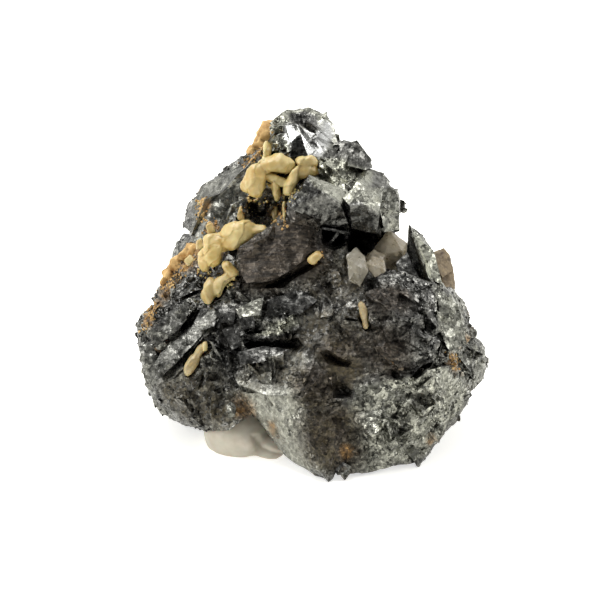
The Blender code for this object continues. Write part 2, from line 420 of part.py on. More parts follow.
def add_crystal(name, where, normal, size, rng, collection):
    """One truncated tetrahedron, sunk about half into the ore, with one corner outwards."""
    turn = Quaternion(Vector((rng.uniform(-1, 1), rng.uniform(-1, 1), rng.uniform(-1, 1))).normalized(),
                      rng.uniform(0, 2 * math.pi))
    cut = rng.uniform(0.12, 0.3) if size > CUT_CORNERS_FROM else 0.0
    points = tetrahedron_points(size * MM, cut)
    centre = where - normal * size * MM * rng.uniform(0.02, 0.12)
    add_object(name, hull([turn @ p + centre for p in points]), collection, helper=True)


def add_druses(tree, collection):
    """The small crystals on the front: each is dropped straight back onto the ore."""
    rng = random.Random(DRUSE_SEED)
    for name, ((across, up), spread, count, smallest, largest) in DRUSES.items():
        for number in range(count):
            reach = spread * math.sqrt(rng.random())
            angle = rng.uniform(0, 2 * math.pi)
            start = placed(across + reach * math.cos(angle), up + reach * math.sin(angle), DROP_FROM)
            size = rng.uniform(smallest, largest)
            where, normal, _, _ = tree.ray_cast(start, -TO_EYE)
            if where is not None:
                add_crystal(f"{name}_{number}", where, normal, size, rng, collection)


def add_rear_crystals(tree, collection, count, smallest, largest):
    """Crystals and lumps round the hidden rear, each dropped from a ring outside towards the middle."""
    rng = random.Random(BACK_SEED)
    ring, lowest, highest = REAR_RING
    for number in range(count):
        angle = rng.uniform(0, math.pi)
        start = Vector((math.cos(angle) * ring, math.sin(angle) * ring, rng.uniform(lowest, highest))) * MM
        aim = placed(rng.uniform(-14, 14), rng.uniform(-14, 14), -8)
        size = rng.uniform(smallest, largest)
        where, normal, _, _ = tree.ray_cast(start, (aim - start).normalized())
        if where is not None and normal.dot(TO_EYE) < REAR_FACING:
            add_crystal(f"rear_crystal_{number}", where, normal, size, rng, collection)


def boolean(obj, operation, collection=None, other=None):
    """Joins or cuts the object, and makes the result its own mesh."""
    modifier = obj.modifiers.new(operation.lower(), "BOOLEAN")
    modifier.operation = operation
    modifier.solver = "EXACT"
    if collection:
        modifier.operand_type = "COLLECTION"
        modifier.collection = collection
    else:
        modifier.object = other
    graph = bpy.context.evaluated_depsgraph_get()
    mesh = bpy.data.meshes.new_from_object(obj.evaluated_get(graph))
    obj.modifiers.clear()
    old = obj.data
    obj.data = mesh
    bpy.data.meshes.remove(old)


def thin(obj, triangles):
    """Takes out the slivers that the joins leave, down to that many triangles."""
    modifier = obj.modifiers.new("thin", "DECIMATE")
    modifier.ratio = triangles / len(obj.data.polygons)
    graph = bpy.context.evaluated_depsgraph_get()
    mesh = bpy.data.meshes.new_from_object(obj.evaluated_get(graph))
    obj.modifiers.clear()
    obj.data = mesh


def keep_main_body(obj):
    """Drops sealed pockets and loose crumbs, merges slivers, and leaves the one outer skin as triangles."""
    bm = bmesh.new()
    bm.from_mesh(obj.data)
    bmesh.ops.remove_doubles(bm, verts=bm.verts, dist=WELD)
    bmesh.ops.dissolve_degenerate(bm, edges=bm.edges, dist=WELD)
    unseen = set(bm.faces)
    shells = []
    while unseen:
        shell = [unseen.pop()]
        for face in shell:
            for edge in face.edges:
                fresh = [f for f in edge.link_faces if f in unseen]
                unseen.difference_update(fresh)
                shell.extend(fresh)
        shells.append(shell)
    shells.sort(key=lambda faces: sum(f.calc_area() for f in faces))
    for shell in shells[:-1]:
        bmesh.ops.delete(bm, geom=shell, context="FACES")
    bmesh.ops.triangulate(bm, faces=bm.faces)
    bmesh.ops.delete(bm, geom=[e for e in bm.edges if not e.link_faces], context="EDGES")
    for _ in range(MENDING_TURNS):
        shared = [e for e in bm.edges if len(e.link_faces) > 2 and e.calc_length() < SHORT_EDGE]
        bmesh.ops.collapse(bm, edges=shared)
    filled = bmesh.ops.holes_fill(bm, edges=[e for e in bm.edges if e.is_boundary])
    bmesh.ops.triangulate(bm, faces=filled["faces"])
    bm.to_mesh(obj.data)
    bm.free()


def lens_bmesh(centre, halves, turn, lean, bend, grow):
    """A saddle-curved lens of siderite: a round form squared off a little, bent along its length."""
    bm = bmesh.new()
    bmesh.ops.create_icosphere(bm, subdivisions=2, radius=1.0)
    half_long, half_wide, half_thick = (half + grow for half in halves)
    turn_in_picture = Matrix.Rotation(math.radians(turn), 3, "Z") @ Matrix.Rotation(math.radians(lean), 3, "Y")
    for vert in bm.verts:
        a, b, c = (math.copysign(abs(x) ** LENS_SQUARENESS, x) for x in vert.co)
        local = Vector((a * half_long, b * half_wide + bend * (1 - a * a) * half_wide, c * half_thick))
        across, up, out = turn_in_picture @ local + Vector(centre)
        vert.co = placed(across, up, out)
    return bm


def ball_bmesh(centre, radius, grow, rng):
    """A crust lump: a ball with its corners pushed about."""
    bm = bmesh.new()
    bmesh.ops.create_icosphere(bm, subdivisions=1, radius=1.0)
    for vert in bm.verts:
        reach = radius * rng.uniform(0.82, 1.16) + grow
        across, up, out = Vector(centre) + vert.co * reach
        vert.co = placed(across, up, out)
    return bm


def prism_bmesh(foot, tip, half_width, point_share, grow):
    """A six-sided quartz crystal from foot to tip, with its six point faces."""
    foot, tip = placed(*foot), placed(*tip)
    along = (tip - foot).normalized()
    side = along.cross(Vector((0, 1, 0))).normalized()
    width, extra = (half_width + grow) * MM, grow * MM
    shoulder = tip - along * (tip - foot).length * point_share
    points = [tip + along * extra]
    for step in range(6):
        spoke = Quaternion(along, step * math.pi / 3 + 0.2) @ side * width
        points += [foot - along * extra + spoke * 0.9, shoulder + spoke]
    return hull(points)


def union_of(name, bmeshes, material, collection, keep_share=1.0):
    """One solid of several overlapping shapes, thinned to that share of its triangles, as a finished piece."""
    parts = collection_of(f"{name}_parts")
    first, *rest = bmeshes
    obj = add_object(name, first, collection)
    for number, bm in enumerate(rest):
        add_object(f"{name}_part_{number}", bm, parts, helper=True)
    if rest:
        boolean(obj, "UNION", collection=parts)
        keep_main_body(obj)
        thin(obj, len(obj.data.polygons) * keep_share)
    give_finish(obj, material)
    return obj


def putty_bmesh(centre, halves, height, grow, rng):
    """A soft lump: rings that swell from a flat foot and close over the top."""
    bm = bmesh.new()
    halves = [half + grow for half in halves]
    height += grow
    waves = [(rng.uniform(0.02, 0.05), times, rng.uniform(0, 2 * math.pi)) for times in (2, 3, 5)]
    rings = []
    for ring in range(PUTTY_RINGS):
        share = ring / (PUTTY_RINGS - 1)
        swell = PUTTY_FOOT + (1 - PUTTY_FOOT) * math.sin(math.pi / 2 * min(share * 2, 1))
        closing = math.sqrt(max(0.02, 1 - max(0.0, (share - 0.3) / 0.7) ** 2))
        row = []
        for side in range(PUTTY_SIDES):
            angle = 2 * math.pi * side / PUTTY_SIDES
            wave = 1 + sum(size * math.sin(times * angle + phase) for size, times, phase in waves)
            x = centre[0] + math.cos(angle) * halves[0] * swell * closing * wave
            y = -centre[1] + math.sin(angle) * halves[1] * swell * closing * wave
            row.append(bm.verts.new(Vector((x, y, height * share)) * MM))
        rings.append(row)
    for low, high in zip(rings, rings[1:]):
        for side in range(PUTTY_SIDES):
            after = (side + 1) % PUTTY_SIDES
            bm.faces.new((low[side], low[after], high[after], high[side]))
    bm.faces.new(rings[-1])
    bm.faces.new(reversed(rings[0]))
    return bm


def joined_blocks(model):
    """The blocks, the fillings between them and the two inner bodies as one solid."""
    blocks = collection_of("blocks")
    for name, block in ALL_BLOCKS.items():
        add_object(name, hull(block_points(*block)), blocks, helper=True)
    for name, (names, set_back) in FILLINGS.items():
        add_object(name, hull(filling_points(names, set_back)), blocks, helper=True)
    inner_bodies = {name: hull([placed(*corner) for corner in corners]) for name, corners in CORES.items()}
    add_object("core_upper", inner_bodies["core_upper"], blocks, helper=True)
    ore = add_object("tetrahedrite", inner_bodies["core_lower"], model)
    boolean(ore, "UNION", collection=blocks)
    return ore


def cut_gashes(ore):
    """Cuts the gashes and hollows."""
    cutters = collection_of("cutters")
    for name, (mouth, floor) in GASHES.items():
        add_object(name, hull([placed(*corner) for corner in mouth + floor]), cutters, helper=True)
    boolean(ore, "DIFFERENCE", collection=cutters)
    keep_main_body(ore)


def cut_at_table(ore):
    """Gives the ore its flat rests: everything that would reach below the table goes."""
    below = collection_of("below_table")
    box = add_object("below_table_box", box_bmesh(*BELOW_TABLE), below, helper=True)
    boolean(ore, "DIFFERENCE", other=box)


def seat_shapes():
    """For each piece that sits in the ore, its shapes a little grown."""
    rng = random.Random(LUMP_SEED)
    seats = {name: [lens_bmesh(*lens, grow=SEAT_GAP) for lens in lenses] for name, lenses in SIDERITE.items()}
    for name, balls in CRUSTS.items():
        seats[name] = [ball_bmesh(centre, radius, SEAT_GAP, rng) for centre, radius in balls]
    seats["quartz"] = [prism_bmesh(*prism, grow=SEAT_GAP) for prism in QUARTZ_PRISMS]
    seats["ankerite"] = []
    for block in ANKERITE_BLOCKS.values():
        points = block_points(*block)
        middle = sum(points, Vector()) / len(points)
        seats["ankerite"].append(hull([p + (p - middle).normalized() * BLOCK_SEAT_GAP * MM for p in points]))
    seats["putty"] = putty_lumps(SEAT_GAP)
    return seats


def cut_seats(ore):
    """Cuts a seat for each of the other pieces, a little wider than the piece itself."""
    for name, shapes in seat_shapes().items():
        seats = collection_of(f"{name}_seats")
        for number, bm in enumerate(shapes):
            add_object(f"{name}_seat_{number}", bm, seats, helper=True)
        boolean(ore, "DIFFERENCE", collection=seats)


def ore_body(model):
    """The grey ore as one solid: the blocks, the studding crystals, and then the cuts."""
    ore = joined_blocks(model)
    crystals = collection_of("crystals")
    tree = surface_of(ore)
    add_druses(tree, crystals)
    add_rear_crystals(tree, crystals, *REAR_CRYSTALS)
    boolean(ore, "UNION", collection=crystals)
    cut_gashes(ore)
    thin(ore, ORE_TRIANGLES)
    cut_seats(ore)
    cut_at_table(ore)
    keep_main_body(ore)
    give_finish(ore, "tetrahedrite")
    return ore


def box_bmesh(centre, sides):
    """A plain box."""
    bm = bmesh.new()
    bmesh.ops.create_cube(bm, size=1.0)
    bmesh.ops.scale(bm, vec=sides, verts=bm.verts)
    bmesh.ops.translate(bm, vec=centre, verts=bm.verts)
    return bm


def set_pieces(model):
    """The pieces that sit in the ore or under it: siderite, iron crusts, quartz, carbonate and putty."""
    for name, lenses in SIDERITE.items():
        union_of(name, [lens_bmesh(*lens, grow=0.0) for lens in lenses], "siderite", model, LENS_SHARE)
    rng = random.Random(LUMP_SEED)
    for name, balls in CRUSTS.items():
        union_of(name, [ball_bmesh(centre, radius, 0.0, rng) for centre, radius in balls], "iron_crust", model)
    union_of("quartz", [prism_bmesh(*prism, grow=0.0) for prism in QUARTZ_PRISMS], "quartz", model)
    blocks = [hull(block_points(*block)) for block in ANKERITE_BLOCKS.values()]
    union_of("ankerite", blocks, "ankerite", model)
    union_of("putty", putty_lumps(0.0), "putty", model)


def putty_lumps(grow):
    """The putty's lumps, the same each time, grown by that much."""
    rng = random.Random(LUMP_SEED)
    return [putty_bmesh(centre, halves, height, grow, rng) for centre, halves, height in PUTTY_LUMPS.values()]


def centre_on_origin(model):
    """Moves every piece so that the whole stands on z = 0 with its box centred over the origin."""
    pieces = [obj for obj in model.objects if not obj.hide_render]
    corners = np.array([vert.co for obj in pieces for vert in obj.data.vertices])
    low, high = corners.min(axis=0), corners.max(axis=0)
    shift = Vector((-(low[0] + high[0]) / 2, -(low[1] + high[1]) / 2, -low[2]))
    for obj in pieces:
        obj.data.transform(Matrix.Translation(shift))
    print("moved by", [round(value / MM, 3) for value in shift], "mm")


def main():
    for obj in list(bpy.data.objects):
        bpy.data.objects.remove(obj)
    model = collection_of("model")
    ore_body(model)
    set_pieces(model)
    centre_on_origin(model)


main()
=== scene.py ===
# Tetrahedrite with siderite, quartz, ankerite and iron crusts, propped on a pinch of putty.
# Lengths are in millimetres here and become metres where they reach Blender.
import itertools
import math

import bmesh
import bpy
import numpy as np
from mathutils import Euler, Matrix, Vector
from mathutils.bvhtree import BVHTree


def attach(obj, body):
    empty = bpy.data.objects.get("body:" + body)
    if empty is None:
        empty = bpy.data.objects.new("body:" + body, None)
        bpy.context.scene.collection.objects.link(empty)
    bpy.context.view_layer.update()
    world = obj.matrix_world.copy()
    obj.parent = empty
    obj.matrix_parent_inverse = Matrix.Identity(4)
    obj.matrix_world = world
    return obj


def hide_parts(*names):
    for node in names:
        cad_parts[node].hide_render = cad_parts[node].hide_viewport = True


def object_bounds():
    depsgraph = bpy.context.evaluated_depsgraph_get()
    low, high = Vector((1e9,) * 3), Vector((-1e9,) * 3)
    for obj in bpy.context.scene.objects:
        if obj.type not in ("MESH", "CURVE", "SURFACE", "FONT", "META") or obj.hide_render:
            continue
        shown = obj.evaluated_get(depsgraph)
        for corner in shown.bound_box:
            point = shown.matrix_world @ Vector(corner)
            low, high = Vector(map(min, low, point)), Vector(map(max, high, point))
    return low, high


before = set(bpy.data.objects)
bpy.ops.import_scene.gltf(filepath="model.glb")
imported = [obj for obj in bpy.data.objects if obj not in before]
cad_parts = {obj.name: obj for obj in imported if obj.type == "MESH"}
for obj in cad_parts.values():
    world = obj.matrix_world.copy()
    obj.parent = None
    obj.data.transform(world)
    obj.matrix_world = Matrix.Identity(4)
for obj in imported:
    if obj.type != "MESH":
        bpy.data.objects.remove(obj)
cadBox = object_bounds()
mm = 0.001
body = "root"

# The camera that took the specimen, and the pixel grid that the spots below are read in.
camera = {
    "lens": 300.0,
    "sensor": 36.0,
    "distance": 790.0,
    "elevation": 20.0,
    "aim": (-2.0, -3.591, 22.5),
    "imageSide": 600,
}


# Arrays of points and triangles

def arraysOf(mesh):
    # A mesh's points in millimetres and its triangles.
    mesh.calc_loop_triangles()
    points = np.empty(len(mesh.vertices) * 3)
    mesh.vertices.foreach_get("co", points)
    triangles = np.empty(len(mesh.loop_triangles) * 3, dtype=np.int32)
    mesh.loop_triangles.foreach_get("vertices", triangles)
    return points.reshape(-1, 3) / mm, triangles.reshape(-1, 3)


def nodeShape(name):
    # A CAD node's mesh is loose triangles, so its doubles are merged here.
    return merged(*arraysOf(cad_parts[name].data))


def merged(points, triangles, grid=0.0005):
    _, first, where = np.unique(np.round(points / grid).astype(np.int64), axis=0,
                                return_index=True, return_inverse=True)
    triangles = where.reshape(-1)[triangles]
    a, b, c = triangles.T
    return points[first], triangles[(a != b) & (b != c) & (c != a)]


def edgesOf(triangles):
    sides = np.sort(triangles[:, [0, 1, 1, 2, 2, 0]].reshape(-1, 2), axis=1)
    edges, where = np.unique(sides, axis=0, return_inverse=True)
    return edges, where.reshape(-1, 3)


def split(points, triangles, longest, towards=None, longestAway=None):
    # Halves every edge that is longer than that until none is left, so flat facets stay flat.
    # With a direction, ground that faces away from it may keep the longer edges.
    for turn in range(12):
        edges, sideOf = edgesOf(triangles)
        limit = longest
        if towards is not None:
            facing = (normalsOf(points, triangles) @ towards)[edges].max(axis=1)
            limit = np.where(facing > -0.05, longest, longestAway)
        long = np.linalg.norm(points[edges[:, 0]] - points[edges[:, 1]], axis=1) > limit
        if not long.any():
            break
        middle = np.full(len(edges), -1)
        middle[long] = len(points) + np.arange(long.sum())
        points = np.vstack([points, points[edges[long]].mean(axis=1)])
        halves = middle[sideOf]
        count = (halves >= 0).sum(axis=1)
        made = [triangles[count == 0]]
        for corner in range(3):
            # Turned so that the first side, or the first two sides, are the ones that were halved.
            turned = np.roll(triangles, -corner, axis=1)
            a, b, c = turned.T
            ab, bc, ca = np.roll(halves, -corner, axis=1).T
            one = (count == 1) & (ab >= 0)
            made += [np.stack([a, ab, c], 1)[one], np.stack([ab, b, c], 1)[one]]
            two = (count == 2) & (ab >= 0) & (bc >= 0)
            made += [np.stack([ab, b, bc], 1)[two], np.stack([a, ab, bc], 1)[two],
                     np.stack([a, bc, c], 1)[two]]
        a, b, c = triangles.T
        ab, bc, ca = halves.T
        every = count == 3
        made += [np.stack(trio, 1)[every] for trio in
                 ((a, ab, ca), (ab, b, bc), (ca, bc, c), (ab, bc, ca))]
        triangles = np.vstack(made)
    return points, triangles


def normalsOf(points, triangles):
    a, b, c = (points[triangles[:, k]] for k in range(3))
    face = np.cross(b - a, c - a)
    normals = np.stack([sum(np.bincount(triangles[:, k], face[:, axis], len(points)) for k in range(3))
                        for axis in range(3)], axis=1)
    return normals / np.maximum(np.linalg.norm(normals, axis=1, keepdims=True), 1e-12)


def relaxed(points, triangles, rounds, share=0.5):
    # Each round moves every point that share of the way to the mean of its neighbours.
    edges, _ = edgesOf(triangles)
    ends = np.vstack([edges, edges[:, ::-1]])
    number = np.maximum(np.bincount(ends[:, 0], minlength=len(points)), 1)
    for _ in range(rounds):
        mean = np.stack([np.bincount(ends[:, 0], points[ends[:, 1], axis], len(points)) / number
                         for axis in range(3)], axis=1)
        points = points + (mean - points) * share
    return points


def hollowOf(points, triangles, rounds):
    # Above zero in creases and pits, below zero on ridges, in millimetres.
    smooth = relaxed(points, triangles, rounds)
    return np.einsum("ij,ij->i", smooth - points, normalsOf(smooth, triangles))


def hollowShare(points, triangles, rounds, depth):
    # The same from -1 to 1, for a material: 1 is that depth in millimetres.
    return np.clip(hollowOf(points, triangles, rounds) / depth, -1, 1)


# Fields in space

def hashed(cells, seed):
    # Four numbers from 0 to 1 for each cell of a grid, the same on every run.
    x, y, z = (cells[:, k].astype(np.uint64) for k in range(3))
    mixed = (x * np.uint64(73856093)) ^ (y * np.uint64(19349663)) ^ (z * np.uint64(83492791))
    mixed = mixed ^ np.uint64(seed * 2654435761)
    numbers = []
    for _ in range(4):
        mixed = (mixed ^ (mixed >> np.uint64(13))) * np.uint64(0x9E3779B97F4A7C15)
        mixed = mixed ^ (mixed >> np.uint64(29))
        numbers.append((mixed >> np.uint64(40)).astype(float) / 2.0 ** 24)
    return np.stack(numbers, axis=1)


def turnedTetrahedra(number=24, seed=4):
    corners = np.array([(1, 1, 1), (1, -1, -1), (-1, 1, -1), (-1, -1, 1)]) / math.sqrt(3)
    chance = np.random.default_rng(seed)
    return np.array([corners @ np.array(Euler(chance.uniform(0, math.tau, 3)).to_matrix())
                     for _ in range(number)])


tetrahedra = turnedTetrahedra()


def crystalField(points, cell, seed):
    # Distance to the nearest of many turned tetrahedra, in cells: flat facets that meet in ridges.
    home = np.floor(points / cell).astype(np.int64)
    best = np.full(len(points), 9.0)
    for step in itertools.product((-1, 0, 1), repeat=3):
        spot = home + np.array(step)
        chance = hashed(spot + 4096, seed)
        away = points / cell - spot - chance[:, :3]
        faces = tetrahedra[(chance[:, 3] * len(tetrahedra)).astype(int)]
        best = np.minimum(best, np.einsum("ijk,ik->ij", faces, away).max(axis=1))
    return best


def softField(points, size, seed):
    # Smooth value noise from -1 to 1.
    place = points / size + 4096
    home = np.floor(place).astype(np.int64)
    part = place - home
    part = part * part * (3 - 2 * part)
    total = np.zeros(len(points))
    for step in itertools.product((0, 1), repeat=3):
        weight = np.prod(np.where(np.array(step) == 1, part, 1 - part), axis=1)
        total += weight * hashed(home + np.array(step), seed)[:, 0]
    return total * 2 - 1


def wander(points, size, seed):
    # Smooth noise along each axis, to bend a shape with.
    return np.stack([softField(points, size, seed + axis) for axis in range(3)], axis=1)


# Places read from the photograph, each carried onto the ore's surface

def fromCamera(x, y):
    tilt = math.radians(camera["elevation"])
    back = Vector((0, -math.cos(tilt), math.sin(tilt)))
    right, up = Vector((1, 0, 0)), Vector((0, math.sin(tilt), math.cos(tilt)))
    start = Vector(camera["aim"]) + back * camera["distance"]
    half = camera["imageSide"] / 2
    spread = camera["sensor"] / camera["lens"] / camera["imageSide"]
    return start, (-back + right * (x - half) * spread + up * (half - y) * spread).normalized()


oreCad = nodeShape("tetrahedrite")
oreTree = BVHTree.FromPolygons([Vector(point) for point in oreCad[0]], oreCad[1].tolist())


def onOre(x, y):
    start, direction = fromCamera(x, y)
    hit = oreTree.ray_cast(start, direction)[0]
    return np.array(hit if hit else oreTree.find_nearest(start + direction * camera["distance"])[0])


def patchOf(points, spots, edge=0.35):
    # 1 inside a spot, 0 outside, with a soft rim. A spot is (x, y, radius in millimetres).
    patch = np.zeros(len(points))
    for x, y, radius in spots:
        away = np.linalg.norm(points - onOre(x, y), axis=1) / radius
        patch = np.maximum(patch, np.clip((1 + edge - away) / (2 * edge), 0, 1))
    return patch * patch * (3 - 2 * patch)


toEye = -np.array(fromCamera(300, 300)[1])


def seenAt(points):
    # Where each point shows in the photograph.
    start, direction = fromCamera(300, 300)
    tilt = math.radians(camera["elevation"])
    away = points - np.array(start)
    depth = away @ np.array(direction)
    spread = camera["sensor"] / camera["lens"] / camera["imageSide"]
    across = away[:, 0] / depth / spread
    up = away @ np.array([0, math.sin(tilt), math.cos(tilt)]) / depth / spread
    return np.stack([camera["imageSide"] / 2 + across, camera["imageSide"] / 2 - up], axis=1)


def within(places, outline, rim=2.0):
    # 1 inside an outline of the photograph, 0 outside, with a soft rim of that many pixels.
    corners = np.array(outline, float)
    inside = np.zeros(len(places), bool)
    nearest = np.full(len(places), 1e9)
    for start, end in zip(corners, np.roll(corners, -1, axis=0)):
        side = end - start
        share = np.clip((places - start) @ side / (side @ side), 0, 1)
        nearest = np.minimum(nearest, np.linalg.norm(places - start - share[:, None] * side, axis=1))
        crossing = (start[1] > places[:, 1]) != (end[1] > places[:, 1])
        if side[1] != 0:
            edge = start[0] + (places[:, 1] - start[1]) / side[1] * side[0]
            inside ^= crossing & (places[:, 0] < edge)
    return np.clip(0.5 + np.where(inside, nearest, -nearest) / rim, 0, 1)


def paintedShadingOf(points, normals, paintedShadingOutlines):
    # Painted light and shade on what faces the eye: each outline is laid over the ones before it.
    places = seenAt(points)
    facing = np.clip(normals @ toEye * 4 + 0.4, 0, 1)
    paintedShadingAndTone = np.zeros(len(points))
    for value, outline in paintedShadingOutlines:
        paintedShadingAndTone += (value - paintedShadingAndTone) * within(places, outline, 4.0) * facing
    return paintedShadingAndTone


def atDepth(x, y, anchor, out):
    # The place that shows at x, y, as far from the eye as the anchor and then nearer by out.
    start, direction = (np.array(part) for part in fromCamera(x, y))
    depth = (start - anchor) @ toEye - out
    return start - direction * (depth / (direction @ toEye))


# Meshes and pieces

def pieceFrom(name, points, triangles, attributes=None, smooth=False):
    mesh = bpy.data.meshes.new(name)
    mesh.from_pydata((points * mm).tolist(), [], triangles.tolist())
    mesh.validate()
    mesh.polygons.foreach_set("use_smooth", [smooth] * len(mesh.polygons))
    for label, values in (attributes or {}).items():
        mesh.attributes.new(label, "FLOAT", "POINT").data.foreach_set("value", values)
    piece = bpy.data.objects.new(name, mesh)
    bpy.context.collection.objects.link(piece)
    return piece


def baked(piece):
    # The piece's evaluated mesh takes the place of its modifiers.
    shape = bpy.data.meshes.new_from_object(piece.evaluated_get(bpy.context.evaluated_depsgraph_get()))
    piece.modifiers.clear()
    piece.data = shape
    return piece


def remeshed(points, triangles, voxel):
    # An even skin over the shape, as arrays again.
    blank = pieceFrom("blank", points, triangles)
    skin = blank.modifiers.new("skin", "REMESH")
    skin.mode = "VOXEL"
    skin.voxel_size = voxel * mm
    shape = arraysOf(baked(blank).data)
    bpy.data.objects.remove(blank)
    return shape


def settle(piece, slot, material, *nodes):
    # Material, the CAD nodes the piece stands for and its body; the slot is not used.
    piece.data.materials.clear()
    piece.data.materials.append(material)
    if nodes:
        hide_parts(*nodes)
    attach(piece, body)
    print(f"{piece.name}: {len(piece.data.polygons)} faces")


# Material helpers

def linear(hexColour):
    # An sRGB hex value as Blender's linear colour.
    parts = [int(hexColour[k:k + 2], 16) / 255 for k in (1, 3, 5)]
    return tuple(p / 12.92 if p <= 0.04045 else ((p + 0.055) / 1.055) ** 2.4 for p in parts) + (1.0,)


def add(tree, kind, inputs=None, **settings):
    # One node with its settings, its values and its links. A node given as a value is linked by its
    # first output in use.
    node = tree.nodes.new(kind)
    for name, value in settings.items():
        setattr(node, name, value)
    for key, value in (inputs or {}).items():
        if isinstance(value, bpy.types.Node):
            value = next(output for output in value.outputs if output.enabled)
        if isinstance(value, bpy.types.NodeSocket):
            tree.links.new(value, node.inputs[key])
        else:
            node.inputs[key].default_value = value
    return node


def perSize(size):
    # A texture's scale for a pattern of that size, on coordinates in metres.
    return 1 / (size * mm)


def newMaterial(name):
    material = bpy.data.materials.new(name)
    material.use_nodes = True
    tree = material.node_tree
    tree.nodes.clear()
    return material, tree, add(tree, "ShaderNodeTexCoord").outputs["Object"]


def painted(tree, values, **others):
    # The surface with its values and links, and the output.
    surface = add(tree, "ShaderNodeBsdfPrincipled", values)
    add(tree, "ShaderNodeOutputMaterial", {"Surface": surface, **others})


def clouded(tree, place, size, detail, harshness, colours):
    # Noise of that size in millimetres, and two colours along it, each with its place on the ramp.
    cloud = add(tree, "ShaderNodeTexNoise", {"Vector": place, "Scale": perSize(size), "Detail": detail,
                                             "Roughness": harshness})
    ramp = add(tree, "ShaderNodeValToRGB", {0: cloud})
    for element, (position, hexColour) in zip(ramp.color_ramp.elements, colours):
        element.position = position
        element.color = linear(hexColour)
    return cloud, ramp


def paintedShadeInHollows(tree, colour, hexColour, low=0.0):
    # Painted shade: another, darker colour where the surface is hollow.
    hollow = add(tree, "ShaderNodeAttribute", attribute_name="hollow").outputs["Fac"]
    deep = add(tree, "ShaderNodeMapRange", {"Value": hollow, "From Min": low})
    return add(tree, "ShaderNodeMix", {0: deep, 6: colour, 7: linear(hexColour)}, data_type="RGBA")


def mottledMaterial(name, look):
    # Two colours in clouds, a darker third in the hollows as painted shade, and the clouds again as bumps.
    material, tree, place = newMaterial(name)
    cloud, colour = clouded(tree, place, look["cloud"], look["detail"], look["harshness"], look["colours"])
    bumps = add(tree, "ShaderNodeBump", {"Strength": look["bump"], "Distance": look["bumpHeight"] * mm,
                                         "Height": cloud})
    painted(tree, {"Base Color": paintedShadeInHollows(tree, colour, look["hollow"]), "Normal": bumps,
                   **look["surface"]})
    return material


# The ore: flat facets of the CAD solid, hackly broken ground between them

ore = {
    "longestEdge": 0.48,
    "longestEdgeAway": 0.9,
    "mostFaces": 194000,
    "slotFrom": 0.2,        # how hollow a slot is where it starts to be drawn together
    "slotRange": 0.3,
    "closing": 0.85,        # and how far it is drawn together at most
    "coarseCell": 3.4,      # the larger broken facets
    "coarseHeight": 0.45,
    "fineCell": 1.5,        # the grain of the broken ground
    "fineHeight": 0.34,
    "gritCell": 0.8,
    "gritHeight": 0.2,
    "waverSize": 2.2,
    "waver": 0.5,           # how far the facets' outlines wander
    "bend": 0.42,           # how far straight edges and slots are bent out of true
    "smoothGround": 0.12,   # what is left of the relief on a smooth face
    "smoothSize": 7.0,      # the smooth faces that come by chance
    "clear": 0.02,          # how far it stays off the table
}

# Faces that stayed smooth: x, y in the photograph and radius in millimetres.
smoothFaces = (
    (205, 180, 4.5), (225, 165, 4.5), (243, 185, 3.5), (215, 205, 3.0), (195, 215, 3.0), (232, 150, 3.0),
    (318, 128, 3.2), (328, 140, 2.4), (298, 146, 2.2),
    (262, 262, 4.0), (285, 245, 4.0), (300, 262, 3.2), (250, 280, 2.6),
    (322, 188, 2.4), (352, 186, 2.6), (372, 178, 2.4), (385, 205, 3.4), (350, 150, 3.4),
    (182, 345, 3.2), (205, 322, 2.6), (165, 365, 3.0),
    (250, 305, 2.2), (270, 430, 4.5), (262, 395, 3.2), (292, 455, 3.6), (280, 405, 3.0),
    (425, 255, 3.6), (360, 215, 2.4), (300, 205, 3.0),
)
# Mirror faces and where they stop, as outlines in the photograph: smooth and glossy, with a painted
# highlight.
mirrorFaces = (
    ((285, 124), (298, 124), (310, 132), (321, 129), (323, 119), (330, 122), (333, 136), (329, 145),
     (322, 155), (308, 158), (286, 140)),
)
# Faces that are even all over.
evenFaces = (
    ((247, 160), (262, 175), (243, 205), (214, 243), (183, 245), (184, 215), (200, 188)),
    ((312, 158), (340, 160), (372, 172), (372, 188), (350, 184), (340, 192), (322, 186)),
)
# Bright ridges and the films of weathering, given as the smooth faces are.
brightRidges = ((275, 326, 2.6), (262, 335, 1.8), (335, 172, 3.6), (325, 160, 2.6), (350, 178, 2.2),
                (300, 205, 1.5), (390, 207, 2.2), (262, 210, 1.6), (430, 262, 1.8))
ironStains = ((262, 150, 1.2), (452, 362, 1.3), (246, 408, 1.9), (166, 292, 1.3), (154, 308, 1.4),
              (147, 322, 1.2), (188, 262, 1.6), (200, 250, 1.4), (272, 429, 1.0), (430, 440, 1.0),
              (466, 342, 1.2), (345, 452, 1.0), (206, 206, 0.9), (214, 228, 0.9), (275, 212, 0.9))
oliveGround = ((340, 290, 4.4), (330, 320, 4.4), (352, 330, 3.6), (325, 345, 2.6), (320, 400, 3.2),
               (335, 430, 3.6), (325, 455, 3.0), (200, 395, 4.2), (215, 408, 3.6), (175, 400, 3.4),
               (290, 355, 2.6), (310, 300, 2.6), (345, 375, 3.0), (350, 268, 3.0), (272, 429, 2.0),
               (240, 406, 2.0), (255, 375, 2.6), (290, 375, 2.6))
brownFaces = ((262, 262, 5.2), (290, 240, 4.6), (308, 262, 3.6), (385, 350, 4.0), (330, 435, 5.0),
              (345, 355, 4.0), (315, 385, 3.6), (390, 300, 3.4), (345, 455, 3.0))
